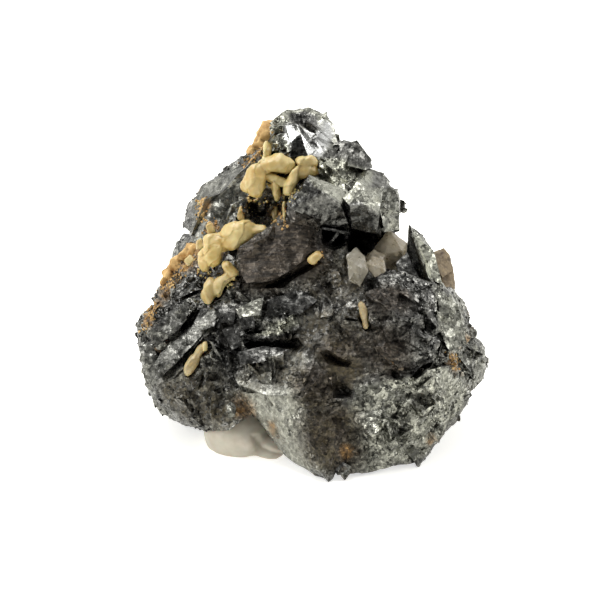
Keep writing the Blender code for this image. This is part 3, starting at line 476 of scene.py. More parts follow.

# Painted light and shade: a value from -1, painted shade, to 1, painted light, and its outline in the
# photograph.
paintedShadingOutlines = (
    (0.1, ((140, 100), (480, 100), (480, 480), (140, 480))),
    (0.3, ((247, 160), (262, 175), (243, 205), (214, 243), (183, 245), (184, 215), (200, 188))),
    (-0.3, ((174, 196), (192, 190), (190, 238), (174, 242))),
    (0.9, ((262, 112), (288, 108), (291, 156), (270, 158))),
    (0.7, ((283, 107), (314, 106), (336, 122), (338, 140), (322, 156), (300, 157), (288, 140))),
    (-0.75, ((290, 113), (302, 111), (315, 117), (320, 128), (311, 132), (301, 125), (289, 121))),
    (-0.65, ((300, 133), (308, 155), (289, 157), (291, 143))),
    (-0.6, ((310, 139), (322, 145), (321, 149), (309, 144))),
    (0.1, ((338, 143), (356, 140), (372, 158), (372, 172), (350, 168), (334, 158))),
    (1.3, ((312, 158), (340, 160), (372, 172), (372, 188), (350, 184), (340, 192), (322, 186))),
    (0.9, ((309, 174), (328, 178), (346, 190), (341, 204), (322, 192), (310, 182))),
    (-0.6, ((306, 180), (322, 193), (340, 205), (350, 231), (322, 225), (296, 223), (287, 207))),
    (0.8, ((342, 196), (358, 184), (382, 190), (379, 212), (366, 205), (359, 198), (348, 205))),
    (-0.8, ((342, 207), (358, 203), (379, 214), (378, 236), (360, 233), (350, 228))),
    (0.4, ((379, 188), (396, 190), (399, 232), (380, 232))),
    (-0.3, ((240, 202), (270, 200), (272, 222), (258, 236), (243, 226))),
    (-0.8, ((240, 250), (286, 222), (318, 226), (323, 249), (306, 268), (262, 290), (236, 284))),
    (-0.9, ((322, 250), (324, 258), (300, 276), (262, 296), (258, 290), (296, 270))),
    (-0.9, ((318, 223), (348, 226), (352, 249), (330, 256), (320, 246))),
    (-0.9, ((345, 231), (378, 234), (378, 252), (352, 256))),
    (-0.2, ((322, 268), (366, 262), (372, 340), (345, 352), (312, 340), (314, 300))),
    (0.0, ((372, 268), (412, 262), (436, 290), (440, 350), (402, 366), (370, 356), (366, 300))),
    (0.5, ((433, 286), (462, 305), (469, 346), (447, 356), (438, 320))),
    (-0.95, ((411, 231), (422, 268), (417, 280), (407, 262), (407, 240))),
    (1.2, ((412, 231), (434, 252), (443, 286), (424, 272))),
    (-0.85, ((385, 372), (400, 364), (421, 358), (434, 362), (402, 381))),
    (-0.7, ((362, 276), (378, 276), (382, 300), (364, 298))),
    (-0.7, ((404, 323), (418, 323), (420, 334), (408, 338))),
    (0.6, ((345, 386), (386, 382), (436, 366), (470, 376), (462, 410), (425, 456), (380, 470),
            (350, 470))),
    (0.25, ((455, 336), (485, 352), (486, 376), (468, 392), (452, 370))),
    (-0.2, ((308, 345), (345, 352), (345, 470), (330, 476), (306, 400))),
    (-0.9, ((318, 353), (346, 359), (341, 367), (320, 360))),
    (-0.8, ((329, 378), (352, 376), (353, 398), (331, 398))),
    (0.2, ((237, 367), (268, 347), (312, 356), (306, 384), (272, 396), (246, 396))),
    (0.48, ((236, 372), (262, 392), (304, 388), (309, 438), (330, 474), (300, 470), (262, 430),
            (242, 400))),
    (-0.6, ((214, 322), (262, 318), (262, 362), (236, 370), (212, 366), (208, 340))),
    (-0.55, ((262, 296), (310, 288), (318, 312), (298, 316), (262, 318))),
    (-0.95, ((246, 334), (262, 338), (300, 328), (322, 346), (316, 353), (248, 350))),
    (1.2, ((254, 336), (276, 321), (294, 314), (300, 323), (274, 337))),
    (0.5, ((237, 309), (264, 296), (260, 315), (241, 316))),
    (0.1, ((152, 369), (158, 353), (192, 343), (218, 303), (226, 306), (206, 329), (182, 356),
            (155, 383))),
    (-0.85, ((176, 330), (190, 318), (205, 302), (208, 306), (194, 324), (180, 334))),
    (0.1, ((150, 330), (186, 298), (181, 327), (155, 347))),
    (-0.35, ((150, 322), (176, 288), (204, 262), (208, 278), (188, 296), (156, 330))),
    (-0.25, ((153, 386), (214, 381), (228, 408), (200, 428), (160, 406))),
    (0.4, ((226, 403), (235, 404), (235, 418), (227, 417))),
    (-0.6, ((200, 366), (236, 370), (232, 392), (206, 384))),
)

# Pits and crevices that are shallower than the solid's own: the share of the depth that stays, and an
# outline in the photograph whose corners lie on the rim.
shallows = (
    (0.22, ((358, 268), (382, 268), (386, 302), (358, 304))),
    (0.2, ((202, 364), (224, 362), (226, 386), (204, 388))),
    (0.3, ((326, 372), (356, 372), (358, 402), (326, 404))),
    (0.25, ((385, 358), (410, 354), (412, 386), (386, 388))),
    (0.4, ((314, 346), (350, 352), (346, 372), (314, 366))),
    (0.4, ((240, 330), (306, 330), (312, 354), (240, 358))),
    (0.3, ((236, 320), (264, 320), (264, 332), (236, 336))),
    (0.35, ((172, 300), (206, 296), (206, 312), (172, 340))),
    (0.3, ((142, 344), (182, 332), (184, 344), (144, 362))),
    (0.3, ((168, 284), (206, 272), (208, 286), (170, 302))),
    (0.6, ((258, 262), (330, 240), (330, 262), (258, 296))),
    (0.4, ((240, 198), (274, 198), (276, 224), (258, 238), (240, 230))),
)

# Crystals that stand clear of the ground: an anchor x, y on the ore, a value of painted light or
# shade, and corners x, y and millimetres out from the anchor.
standing = {
    "leftChevron": ((325, 196), 0.2, (
        (309, 175, 1.6), (346, 190, -0.4), (341, 205, 2.4), (322, 193, 2.6), (350, 228, -0.4),
        (322, 224, 0.6), (290, 208, 0.8))),
    "rightChevron": ((360, 200), 0.1, (
        (342, 197, 0.6), (358, 184, 0.8), (383, 191, -0.8), (379, 212, 0.8), (366, 205, 2.6),
        (350, 206, 2.4), (377, 234, -0.8), (352, 228, 0.0))),
    "knob": ((388, 210), 0.3, (
        (380, 189, 0.8), (394, 188, 0.2), (399, 200, 0.2), (399, 230, 0.0), (384, 232, 1.6),
        (380, 210, 1.8))),
    "shoulder": ((352, 155), -0.1, (
        (337, 158, 0.8), (345, 143, 0.4), (357, 140, 0.0), (372, 160, 0.0), (366, 170, 1.0),
        (348, 166, 1.8))),
    "mirrorLeft": ((296, 132), 0.0, (
        (286, 126, 0.5), (298, 124, 0.1), (311, 133, 0.3), (314, 150, 0.9), (309, 157, 1.2),
        (301, 134, 0.8), (291, 142, 0.7))),
    "spearhead": ((299, 150), -0.9, (
        (300, 134, 1.0), (308, 156, 1.5), (290, 157, 1.4), (292, 143, 1.1))),
    "greyTriangle": ((250, 306), 0.5, (
        (236, 309, 0.8), (264, 296, 0.2), (260, 315, 1.6), (243, 317, 1.6))),
    "stepBelowTriangle": ((246, 322), -0.2, (
        (238, 319, 0.8), (253, 313, 0.6), (255, 327, 1.4), (243, 330, 1.3))),
    "sliver": ((216, 352), 0.5, (
        (209, 341, 1.2), (213, 342, 1.5), (224, 364, 1.0), (220, 362, 0.6))),
    "secondSliver": ((205, 334), 0.3, (
        (198, 326, 1.0), (216, 320, 0.6), (214, 326, 1.2), (200, 331, 1.4))),
    "needle": ((330, 240), 0.9, (
        (337, 231, 3.2), (339, 234, 3.0), (326, 250, 2.8), (323, 249, 2.6))),
    "upperNeedle": ((336, 228), 0.6, (
        (322, 227, 1.8), (350, 232, 2.2), (350, 235, 2.2), (322, 229, 1.9))),
    "darkWedge": ((226, 316), -0.6, (
        (213, 306, 0.8), (236, 308, 1.0), (234, 324, 1.9), (220, 322, 1.4))),
    "bar": ((185, 345), 0.1, (
        (153, 366, 0.6), (160, 353, 0.2), (192, 343, 0.5), (219, 303, 0.2), (226, 307, 0.8),
        (206, 330, 1.5), (182, 357, 1.7), (156, 382, 1.0))),
    "leftFacet": ((166, 326), 0.1, (
        (150, 331, 0.6), (186, 298, 0.4), (190, 312, 1.0), (180, 328, 1.5), (155, 348, 1.0))),
    "blackBlade": ((290, 302), -0.7, (
        (266, 300, 0.8), (300, 290, 0.4), (318, 300, 1.2), (300, 314, 2.0), (268, 316, 1.2))),
    "gapLedge": ((255, 352), -0.3, (
        (238, 352, 0.6), (262, 346, 0.3), (292, 350, 1.2), (262, 362, 1.9), (240, 364, 1.3))),
    "flankStep": ((450, 320), 0.4, (
        (438, 298, 0.4), (458, 304, -0.6), (467, 344, -0.4), (449, 352, 1.2), (440, 330, 1.5))),
    "bladeFace": ((428, 262), 1.0, (
        (412, 232, 0.2), (434, 252, -0.4), (443, 286, 0.2), (424, 273, 1.0))),
    "pillar": ((444, 262), 0.2, (
        (440, 268, 0.6), (448, 262, 0.4), (456, 296, 0.2), (446, 292, 1.1))),
    "lowCrumb": ((342, 466), 0.2, (
        (334, 470, 0.8), (342, 462, 0.6), (351, 466, 0.9), (348, 474, 1.4), (337, 476, 1.2))),
    "rightCrumb": ((412, 452), 0.1, (
        (404, 452, 0.6), (414, 446, 0.4), (420, 452, 0.7), (414, 460, 1.1))),
    "lowKnob": ((231, 411), 0.6, (
        (226, 405, 0.8), (231, 401, 0.8), (236, 406, 1.2), (235, 416, 1.3), (229, 419, 1.0))),
    "gapFill": ((414, 282), -0.4, (
        (396, 264, -2.0), (407, 252, -2.6), (419, 278, -0.8), (402, 284, -1.0))),
    "leftFill": ((156, 366), 0.1, (
        (139, 346, -1.2), (152, 342, -0.4), (160, 368, 0.2), (154, 386, 0.2), (144, 378, -0.8))),
    "innerEdge": ((236, 340), -0.4, (
        (222, 330, 0.6), (240, 322, 0.6), (252, 340, 1.4), (232, 350, 1.7))),
}


def raised(points):
    # How far each point comes nearer to the eye, in millimetres, to make a pit shallower.
    places = seenAt(points)
    rise = np.zeros(len(points))
    for share, outline in shallows:
        rim = np.median([onOre(x, y) @ toEye for x, y in outline])
        below = np.clip(rim - points @ toEye, 0, 9)
        below *= (rim - points @ toEye < 9) * within(places, outline, 3.0)
        rise = np.maximum(rise, below * (1 - share))
    return rise


def makeOre():
    points, triangles = split(*oreCad, ore["longestEdge"], toEye, ore["longestEdgeAway"])
    points = points + toEye * raised(points)[:, None]
    # The straight slots of the solid are drawn together into crevices.
    narrow = (hollowOf(points, triangles, 30) - ore["slotFrom"]) / ore["slotRange"]
    narrow = np.clip(narrow, 0, ore["closing"])
    points = points + (relaxed(points, triangles, 45) - points) * narrow[:, None]
    normals = normalsOf(points, triangles)
    waver = wander(points, ore["waverSize"], 11)
    places = seenAt(points)
    mirror = np.max([within(places, outline, 3.0) for outline in mirrorFaces], axis=0)
    mirror *= np.clip(normals @ toEye * 4, 0, 1)
    smooth = np.maximum(patchOf(points, smoothFaces, 0.25), mirror)
    even = np.max([within(places, outline, 6.0) for outline in evenFaces], axis=0)
    smooth = np.maximum(smooth, even * 0.9 * (normals @ toEye > 0))
    # Other smooth faces by chance, so the sides and the back have some too.
    smooth = np.maximum(smooth, np.clip((softField(points, ore["smoothSize"], 14) - 0.3) * 4, 0, 0.8))
    broken = 1 - smooth * (1 - ore["smoothGround"])
    place = points + waver * ore["waver"]
    relief = ore["coarseHeight"] * (0.32 - crystalField(place, ore["coarseCell"], 1))
    relief += ore["fineHeight"] * (0.32 - crystalField(place, ore["fineCell"], 2))
    relief += ore["gritHeight"] * (0.32 - crystalField(points, ore["gritCell"], 3))
    # The weathering films, and the painted light and shade on what faces the eye.
    filmsAndPaintedShading = {
        "iron": patchOf(points, ironStains, 0.6),
        "olive": patchOf(points, oliveGround, 0.6),
        "brown": patchOf(points, brownFaces, 0.5),
        "paintedShadingAndTone": paintedShadingOf(points, normals, paintedShadingOutlines),
    }
    # The sides and the back have the same films by chance, and a lighter or darker tone by chance.
    hidden = np.clip(0.15 - normals @ toEye, 0, 0.4) / 0.4
    for seed, (label, low) in enumerate((("iron", 0.45), ("olive", 0.1), ("brown", 0.1))):
        chance = np.clip((softField(points, 6.0 - seed, 21 + seed) - low) * 3, 0, 0.9)
        filmsAndPaintedShading[label] = np.maximum(filmsAndPaintedShading[label], chance * hidden)
    filmsAndPaintedShading["paintedShadingAndTone"] += hidden * 0.7 * softField(points, 5.0, 25)
    points = points + normals * (relief * broken)[:, None]
    points += waver * (ore["bend"] * (0.4 + 0.6 * broken))[:, None]
    points[:, 2] = np.clip(points[:, 2], ore["clear"], cadBox[1][2] / mm)
    piece = pieceFrom("ore", points, triangles, {
        "broken": broken,
        "hollow": hollowShare(points, triangles, 6, 0.25),
        "deep": hollowShare(points, triangles, 60, 0.9),
        # Painted highlight and gloss on the mirror faces, where the painted light and shade is light.
        "glossAndPaintedHighlight": mirror * (filmsAndPaintedShading["paintedShadingAndTone"] > 0),
        "ridge": patchOf(points, brightRidges, 0.5),
        **filmsAndPaintedShading,
    })
    # The flattest ground gives up its faces first.
    thinner = piece.modifiers.new("thinner", "DECIMATE")
    thinner.ratio = ore["mostFaces"] / len(triangles)
    return baked(piece)


def hullOf(corners):
    # The convex hull of some corners, as arrays.
    shape = bmesh.new()
    for corner in corners:
        shape.verts.new(corner)
    bmesh.ops.convex_hull(shape, input=shape.verts)
    bmesh.ops.delete(shape, geom=[v for v in shape.verts if not v.link_faces], context="VERTS")
    shape.verts.index_update()
    points = np.array([v.co for v in shape.verts])
    triangles = np.array([[v.index for v in face.verts] for face in shape.faces])
    shape.free()
    return points, triangles


def standingShape(crystals):
    # All the crystals as one set of arrays, with each point's own value of painted light or shade.
    allPoints, allTriangles, ownPaintedShadings = [], [], []
    count = 0
    for anchor, paintedShadingAndTone, corners in crystals.values():
        ground = onOre(*anchor)
        front = np.array([atDepth(x, y, ground, out) for x, y, out in corners])
        middle = front.mean(axis=0)
        back = middle + (front - middle) * 0.8 - toEye * 3.2
        points, triangles = split(*hullOf(np.vstack([front, back])), 0.7)
        allPoints.append(points)
        allTriangles.append(triangles + count)
        ownPaintedShadings += [paintedShadingAndTone] * len(points)
        count += len(points)
    return np.vstack(allPoints), np.vstack(allTriangles), np.array(ownPaintedShadings)


def makeStanding():
    points, triangles, ownPaintedShading = standingShape(standing)
    # Painted light and shade: the outlines' value and each crystal's own.
    paintedShadingAndTone = 0.9 * paintedShadingOf(points, normalsOf(points, triangles), paintedShadingOutlines) + 0.4 * ownPaintedShading
    points = points + wander(points, 0.9, 15) * 0.1
    points[:, 2] = np.maximum(points[:, 2], 0.0)
    places = seenAt(points)
    mirror = np.max([within(places, outline, 2.0) for outline in mirrorFaces], axis=0)
    return pieceFrom("standingCrystals", points, triangles, {
        "paintedShadingAndTone": paintedShadingAndTone,
        "broken": np.full(len(points), 0.1),
        # Painted highlight and gloss on the mirror faces, as on the ore.
        "glossAndPaintedHighlight": mirror * (paintedShadingAndTone > 0),
    })


def tetrahedriteMaterial():
    # Tetrahedrite, a grey sulphide with a metal's shine: dark steel faces that flash white where they
    # meet the light, painted light and shade on what faces the eye, a painted highlight on the mirror
    # faces, painted shade near-black in the hollows, with brown and olive films of weathering.
    material, tree, place = newMaterial("steel-grey tetrahedrite")
    given = {label: add(tree, "ShaderNodeAttribute", attribute_name=label).outputs["Fac"]
             for label in ("paintedShadingAndTone", "brown", "olive", "iron", "glossAndPaintedHighlight", "broken", "hollow", "deep")}
    # The colour runs from near-black to steel with the grain.
    grain, colour = clouded(tree, place, 0.8, 5.0, 0.7, ((0.34, "#232322"), (0.66, "#8f8e89")))
    cloud = add(tree, "ShaderNodeTexNoise",
                {"Vector": place, "Scale": perSize(5.0), "Detail": 4.0, "Roughness": 0.6})
    facets, specks, grit = (
        add(tree, "ShaderNodeTexVoronoi", {"Vector": place, "Scale": perSize(size)}).outputs["Color"]
        for size in (1.15, 0.45, 0.22))
    glossChance, shadeChance, wornChance = add(tree, "ShaderNodeSeparateColor", {0: specks}).outputs
    fleckChance = add(tree, "ShaderNodeSeparateColor", {0: grit}).outputs[1]
    # Growth lines on the smooth faces: noise that is long one way.
    drawn = add(tree, "ShaderNodeMapping", {"Vector": place, "Rotation": (0.3, 0.9, 0.5),
                                            "Scale": (0.14, 1.0, 1.0)})
    lines = add(tree, "ShaderNodeTexNoise",
                {"Vector": drawn, "Scale": perSize(0.5), "Detail": 3.0, "Roughness": 0.6})

    # What each share reads, and its values at two places of that.
    share = {}
    for label, value, low, high, atLow, atHigh in (
            ("lighter", given["paintedShadingAndTone"], 0.0, 1.3, 0.0, 0.9),
            ("darker", given["paintedShadingAndTone"], 0.0, -1.0, 0.0, 0.8),
            ("scratched", lines, 0.42, 0.56, 0.75, 0.0),
            ("filmed", cloud, 0.35, 0.62, 0.1, 0.8),
            ("worn", wornChance, 0.6, 0.75, 1.0, 0.2),
            ("stained", grain, 0.36, 0.6, 0.1, 0.9),
            ("even", given["broken"], 0.0, 0.8, 0.6, 0.0),
            ("leaning", given["broken"], 0.0, 1.0, 0.16, 0.75),
            ("steady", given["glossAndPaintedHighlight"], 0.0, 1.0, 1.0, 0.25)):
        share[label] = add(tree, "ShaderNodeMapRange", {
            "Value": value, "From Min": low, "From Max": high, "To Min": atLow, "To Max": atHigh})

    # Painted light and shade first, then the films, then the painted highlight of the mirror faces.
    brown = add(tree, "ShaderNodeMath", {0: given["brown"], 1: 0.72}, operation="MULTIPLY")
    brushed = add(tree, "ShaderNodeMath", {0: given["brown"], 1: share["scratched"]}, operation="MULTIPLY")
    film = add(tree, "ShaderNodeMath", {0: given["olive"], 1: share["filmed"]}, operation="MULTIPLY")
    film = add(tree, "ShaderNodeMath", {0: film, 1: share["worn"]}, operation="MULTIPLY")
    rust = add(tree, "ShaderNodeMath", {0: given["iron"], 1: share["stained"]}, operation="MULTIPLY")
    for layer, hexColour in ((share["lighter"], "#b2b2a3"), (share["darker"], "#161616"),
                             (brown, "#453a2c"), (brushed, "#14110d"), (film, "#554c36"),
                             (rust, "#94703f"), (given["glossAndPaintedHighlight"], "#d3d3d0")):
        colour = add(tree, "ShaderNodeMix", {0: layer, 6: colour, 7: linear(hexColour)}, data_type="RGBA")

    # Each speck is lighter or darker than its neighbours, less so on smooth ground.
    shade = add(tree, "ShaderNodeMath", {0: shadeChance, 1: 1.1, 2: 0.45}, operation="MULTIPLY_ADD")
    fleck = add(tree, "ShaderNodeMath", {0: fleckChance, 1: 0.8, 2: 0.6}, operation="MULTIPLY_ADD")
    patchy = add(tree, "ShaderNodeMath", {0: shade, 1: fleck}, operation="MULTIPLY")
    even = add(tree, "ShaderNodeMath", {0: share["even"], 1: given["glossAndPaintedHighlight"]}, operation="MAXIMUM")
    missing = add(tree, "ShaderNodeMath", {0: 1.0, 1: patchy}, operation="SUBTRACT")
    patchy = add(tree, "ShaderNodeMath", {0: missing, 1: even, 2: patchy}, operation="MULTIPLY_ADD")
    speckled = add(tree, "ShaderNodeVectorMath", {0: colour, "Scale": patchy}, operation="SCALE")
    # Painted shade: the hollows and the deep ground darken towards near-black.
    hollow = add(tree, "ShaderNodeMath", {0: given["hollow"], 1: given["deep"]}, operation="MAXIMUM")
    shadow = add(tree, "ShaderNodeMapRange", {"Value": hollow, "From Max": 0.8, "To Max": 0.85})
    colour = add(tree, "ShaderNodeMix", {0: shadow, 6: speckled, 7: linear("#100e0c")}, data_type="RGBA")

    # A film takes the metal's shine away.
    dull = add(tree, "ShaderNodeMath", {0: film, 1: 0.8}, operation="MULTIPLY")
    dull = add(tree, "ShaderNodeMath", {0: dull, 1: rust}, operation="MAXIMUM")
    brownDull = add(tree, "ShaderNodeMath", {0: given["brown"], 1: 0.35}, operation="MULTIPLY")
    dull = add(tree, "ShaderNodeMath", {0: dull, 1: brownDull}, operation="MAXIMUM")
    metallic = add(tree, "ShaderNodeMath", {0: 0.95, 1: dull}, operation="SUBTRACT")
    rough = add(tree, "ShaderNodeMath", {0: glossChance, 1: 0.3, 2: 0.14}, operation="MULTIPLY_ADD")
    rough = add(tree, "ShaderNodeMath", {0: dull, 1: 0.35, 2: rough}, operation="MULTIPLY_ADD")
    rough = add(tree, "ShaderNodeMath", {0: given["glossAndPaintedHighlight"], 1: -0.06, 2: rough},
                operation="MULTIPLY_ADD")

    # Every small facet leans its own way, more on broken ground and less on a mirror face.
    leans = (0.0, 0.0, 0.0)
    for chance, far in ((facets, 1.3), (specks, 0.9), (grit, 0.5)):
        way = add(tree, "ShaderNodeVectorMath", {0: chance, 1: (0.5, 0.5, 0.5)}, operation="SUBTRACT")
        leans = add(tree, "ShaderNodeVectorMath", {0: way, 1: (far, far, far), 2: leans},
                    operation="MULTIPLY_ADD")
    lean = add(tree, "ShaderNodeMath", {0: share["leaning"], 1: share["steady"]}, operation="MULTIPLY")
    leans = add(tree, "ShaderNodeVectorMath", {0: leans, "Scale": lean}, operation="SCALE")
    # The mirror faces lie back a little further than the solid's, towards the light.
    tilt = add(tree, "ShaderNodeVectorMath", {0: (0.1, 0.2, 0.75), "Scale": given["glossAndPaintedHighlight"]},
               operation="SCALE")
    normal = add(tree, "ShaderNodeNewGeometry").outputs["Normal"]
    normal = add(tree, "ShaderNodeVectorMath", {0: normal, 1: tilt}, operation="ADD")
    normal = add(tree, "ShaderNodeVectorMath", {0: normal, 1: leans}, operation="ADD")
    normal = add(tree, "ShaderNodeVectorMath", {0: normal}, operation="NORMALIZE")
    ridged = add(tree, "ShaderNodeBump", {"Strength": 0.35, "Distance": 0.1 * mm, "Height": lines,
                                          "Normal": normal})
    bumps = add(tree, "ShaderNodeBump", {"Strength": 0.5, "Distance": 0.12 * mm, "Height": grain,
                                         "Normal": ridged})
    painted(tree, {"Base Color": colour, "Metallic": metallic, "Roughness": rough, "Normal": bumps})
    return material


# Splinters and plates of siderite round its clusters, given as the standing crystals are.
splinters = {
    "stub": ((268, 152), 0.0, (
        (266, 142, 1.2), (270, 141, 1.0), (271, 157, 1.7), (267, 158, 2.0))),
    "plateOne": ((280, 182), 0.0, (
        (268, 176, 2.0), (270, 175, 2.0), (290, 186, 2.7), (289, 188, 2.8))),
    "plateTwo": ((280, 186), 0.0, (
        (267, 185, 2.0), (289, 180, 2.4), (290, 182, 2.7), (269, 188, 2.7))),
    "plateThree": ((276, 194), 0.0, (
        (271, 188, 1.8), (274, 187, 2.2), (279, 200, 2.4), (275, 201, 2.2))),
    "innerLens": ((284, 196), 0.0, (
        (281, 193, 1.8), (286, 190, 2.2), (284, 200, 2.3))),
    "tanPlate": ((275, 214), 0.0, (
        (271, 212, 0.5), (277, 205, 0.6), (277, 219, 1.0), (273, 221, 0.9))),
    "thinPlate": ((284, 212), 0.0, (
        (283, 202, 0.8), (285, 200, 0.7), (285, 223, 1.1), (283, 224, 1.0))),
    "pitLeft": ((200, 207), 0.0, (
        (197, 203, 0.2), (202, 201, 0.1), (203, 208, 0.5))),
    "pitRight": ((209, 230), 0.0, (
        (205, 226, 0.2), (212, 222, 0.3), (215, 231, 0.6), (208, 235, 0.5))),
    "smallCone": ((240, 212), 0.0, (
        (239, 207, 0.4), (241, 206, 0.5), (245, 219, 0.9), (238, 220, 0.7))),
    "knobOne": ((199, 244), 0.0, (
        (195, 240, 0.8), (202, 238, 0.9), (205, 247, 1.4), (197, 250, 1.2))),
    "knobTwo": ((188, 262), 0.0, (
        (184, 259, 0.4), (191, 254, 0.5), (195, 260, 1.0), (189, 266, 0.8))),
    "chipTop": ((206, 344), 0.0, (
        (203, 343, 1.8), (207, 341, 1.8), (207, 350, 2.2), (203, 352, 2.4))),
    "lowerTop": ((232, 268), 0.0, (
        (227, 265, 1.6), (233, 263, 1.6), (235, 275, 2.2), (230, 278, 2.3))),
}


# The small crystals that coat the broken ground

druse = {
    "density": 0.8,         # crystals to a square millimetre
    "smallest": 0.14,
    "largest": 0.38,
    "height": 1.05,         # a crystal's height for a radius of 1
    "top": 0.15,
    "sides": 3,
    "lean": 1.2,            # radians
    "seed": 3,
    "above": 1.0,           # none lower than this, so they stay off the table
}
# The same crystals grown larger, a few here and there.
rubble = {
    "density": 0.1,
    "smallest": 0.45,
    "largest": 0.95,
    "height": 0.95,
    "top": 0.4,
    "sides": 3,
    "lean": 1.1,
    "seed": 8,
    "above": 2.5,
}
# Crumbs of carbonate, thick on the iron-stained rim and thin in the pits of the slab.
crumbs = {
    "density": 3.4,
    "smallest": 0.1,
    "largest": 0.34,
    "height": 1.1,
    "top": 0.45,
    "sides": 4,
    "lean": 1.5,
    "seed": 5,
    "above": 1.0,
}
crumbGrounds = (
    ((252, 146), (262, 118), (273, 116), (268, 140), (258, 158), (240, 168), (244, 156)),
    ((158, 292), (176, 262), (196, 240), (206, 246), (196, 262), (178, 280), (166, 300)),
    ((140, 330), (148, 304), (158, 292), (160, 302), (148, 332)),
    ((194, 200), (204, 198), (208, 212), (198, 216)),
    ((200, 222), (214, 218), (220, 234), (206, 240)),
    ((270, 206), (286, 200), (286, 226), (272, 224)),
    ((236, 210), (244, 206), (246, 218), (238, 220)),
    ((310, 262), (320, 250), (324, 256), (316, 264)),
    ((446, 354), (458, 356), (460, 372), (450, 368)),
)
flakeGrounds = (
    ((264, 176), (292, 174), (292, 188), (268, 190)),
    ((246, 196), (262, 192), (266, 202), (250, 204)),
    ((198, 268), (212, 262), (214, 276), (202, 280)),
    ((286, 196), (298, 188), (300, 200), (288, 204)),
    ((222, 268), (232, 262), (238, 280), (226, 290)),
)


def druseTree(material):
    tree = bpy.data.node_groups.new("small crystals", "GeometryNodeTree")
    tree.interface.new_socket("Geometry", in_out="INPUT", socket_type="NodeSocketGeometry")
    for name in ("Density", "Smallest", "Largest", "Height", "Top", "Lean"):
        tree.interface.new_socket(name, in_out="INPUT", socket_type="NodeSocketFloat")
    for name in ("Sides", "Seed"):
        tree.interface.new_socket(name, in_out="INPUT", socket_type="NodeSocketInt")
    tree.interface.new_socket("Geometry", in_out="OUTPUT", socket_type="NodeSocketGeometry")
    given = add(tree, "NodeGroupInput").outputs
    where = add(tree, "GeometryNodeInputNamedAttribute", {"Name": "sown"}, data_type="FLOAT")
    density = add(tree, "ShaderNodeMath", {0: given["Density"], 1: where}, operation="MULTIPLY")
    scatter = add(tree, "GeometryNodeDistributePointsOnFaces",
                  {"Mesh": given["Geometry"], "Density": density, "Seed": given["Seed"]},
                  distribute_method="RANDOM")
    crystal = add(tree, "GeometryNodeMeshCone",
                  {"Vertices": given["Sides"], "Radius Top": given["Top"], "Radius Bottom": 1.0,
                   "Depth": given["Height"]}, fill_type="NGON")
    sunk = add(tree, "GeometryNodeTransform", {"Geometry": crystal, "Translation": (0.0, 0.0, -0.35)})
    back = add(tree, "ShaderNodeMath", {0: given["Lean"], 1: -1.0}, operation="MULTIPLY")
    lowest = add(tree, "ShaderNodeCombineXYZ", {0: back, 1: back, 2: -3.1})
    highest = add(tree, "ShaderNodeCombineXYZ", {0: given["Lean"], 1: given["Lean"], 2: 3.1})
    spin = add(tree, "FunctionNodeRandomValue", {0: lowest, 1: highest, "Seed": given["Seed"]},
               data_type="FLOAT_VECTOR")
    turn = add(tree, "FunctionNodeEulerToRotation", {0: spin})
    turned = add(tree, "FunctionNodeRotateRotation", {0: scatter.outputs["Rotation"], 1: turn},
                 rotation_space="LOCAL")
    size = add(tree, "FunctionNodeRandomValue", {2: given["Smallest"], 3: given["Largest"],
                                                 "Seed": given["Seed"]}, data_type="FLOAT")
    placed = add(tree, "GeometryNodeInstanceOnPoints",
                 {"Points": scatter, "Instance": sunk, "Rotation": turned, "Scale": size})
    real = add(tree, "GeometryNodeRealizeInstances", {0: placed})
    named = add(tree, "GeometryNodeSetMaterial", {"Geometry": real, "Material": material})
    add(tree, "NodeGroupOutput", {0: named})
    return tree


def sown(name, ground, where, settings, tree):
    # Crystals over the ground mesh, thick where the given attribute is high.
    host = bpy.data.objects.new(name, ground.data.copy())
    bpy.context.collection.objects.link(host)
    host.data.attributes.new("sown", "FLOAT", "POINT").data.foreach_set("value", where)
    modifier = host.modifiers.new("crystals", "NODES")
    modifier.node_group = tree
    values = {"Density": settings["density"] / mm ** 2, "Smallest": settings["smallest"] * mm,
              "Largest": settings["largest"] * mm, "Height": settings["height"],
              "Top": settings["top"], "Lean": settings["lean"], "Sides": settings["sides"],
              "Seed": settings["seed"]}
    for item in tree.interface.items_tree:
        if item.in_out == "INPUT" and item.name in values:
            modifier[item.identifier] = values[item.name]
    return baked(host)


def readOff(ground, label):
    values = np.empty(len(ground.data.vertices))
    ground.data.attributes[label].data.foreach_get("value", values)
    return values


def makeDruse(ground, name, settings, material):
    points, _ = arraysOf(ground.data)
    broken, deep, ridge = (readOff(ground, label) for label in ("broken", "deep", "ridge"))
    patchy = np.clip(softField(points, 4.0, 31) * 1.6 + 0.35, 0, 1)
    where = np.clip(broken - 0.35, 0, 1) * (0.25 + patchy) + ridge * 0.8
    where = (where + np.clip(deep, 0, 1) * 0.5) * (points[:, 2] > settings["above"])
    return sown(name, ground, where, settings, druseTree(material))


def makeCrumbs(ground, name, outlines, settings, material):
    # Only on the ground that faces the eye, and a little round the rim.
    points, triangles = arraysOf(ground.data)
    places = seenAt(points)
    where = np.max([within(places, outline, 5.0) for outline in outlines], axis=0)
    where *= np.clip(normalsOf(points, triangles) @ toEye * 3 + 0.5, 0, 1)
    return sown(name, ground, where, settings, druseTree(material))


# Siderite: saddles and lenses grown in clusters

siderite = {
    "voxel": 0.13,
    "rounds": 3,
    "swell": 0.14,
    "ripple": 0.1,
    "cell": 1.9,        # the lobes' size
    "lobe": 0.3,        # and how far they stand out
    "facet": 0.14,
    "plate": 2.3,       # the curved plates' width
    "step": 0.2,        # and how far each stands over the next
    "across": (0.78, 0.1, -0.62),
    "bend": 0.4,        # how far the lenses are bent out of true
}

# The share of that relief, and how stained each is.
sideritePieces = {
    "siderite_upper": (1.0, 0.1),
    "siderite_middle": (1.0, 0.0),
    "siderite_lower": (1.0, 0.25),
    "siderite_chip": (0.35, 0.75),
    "siderite_blade": (0.5, 0.9),
    "siderite_wedge": (0.6, 0.35),
}


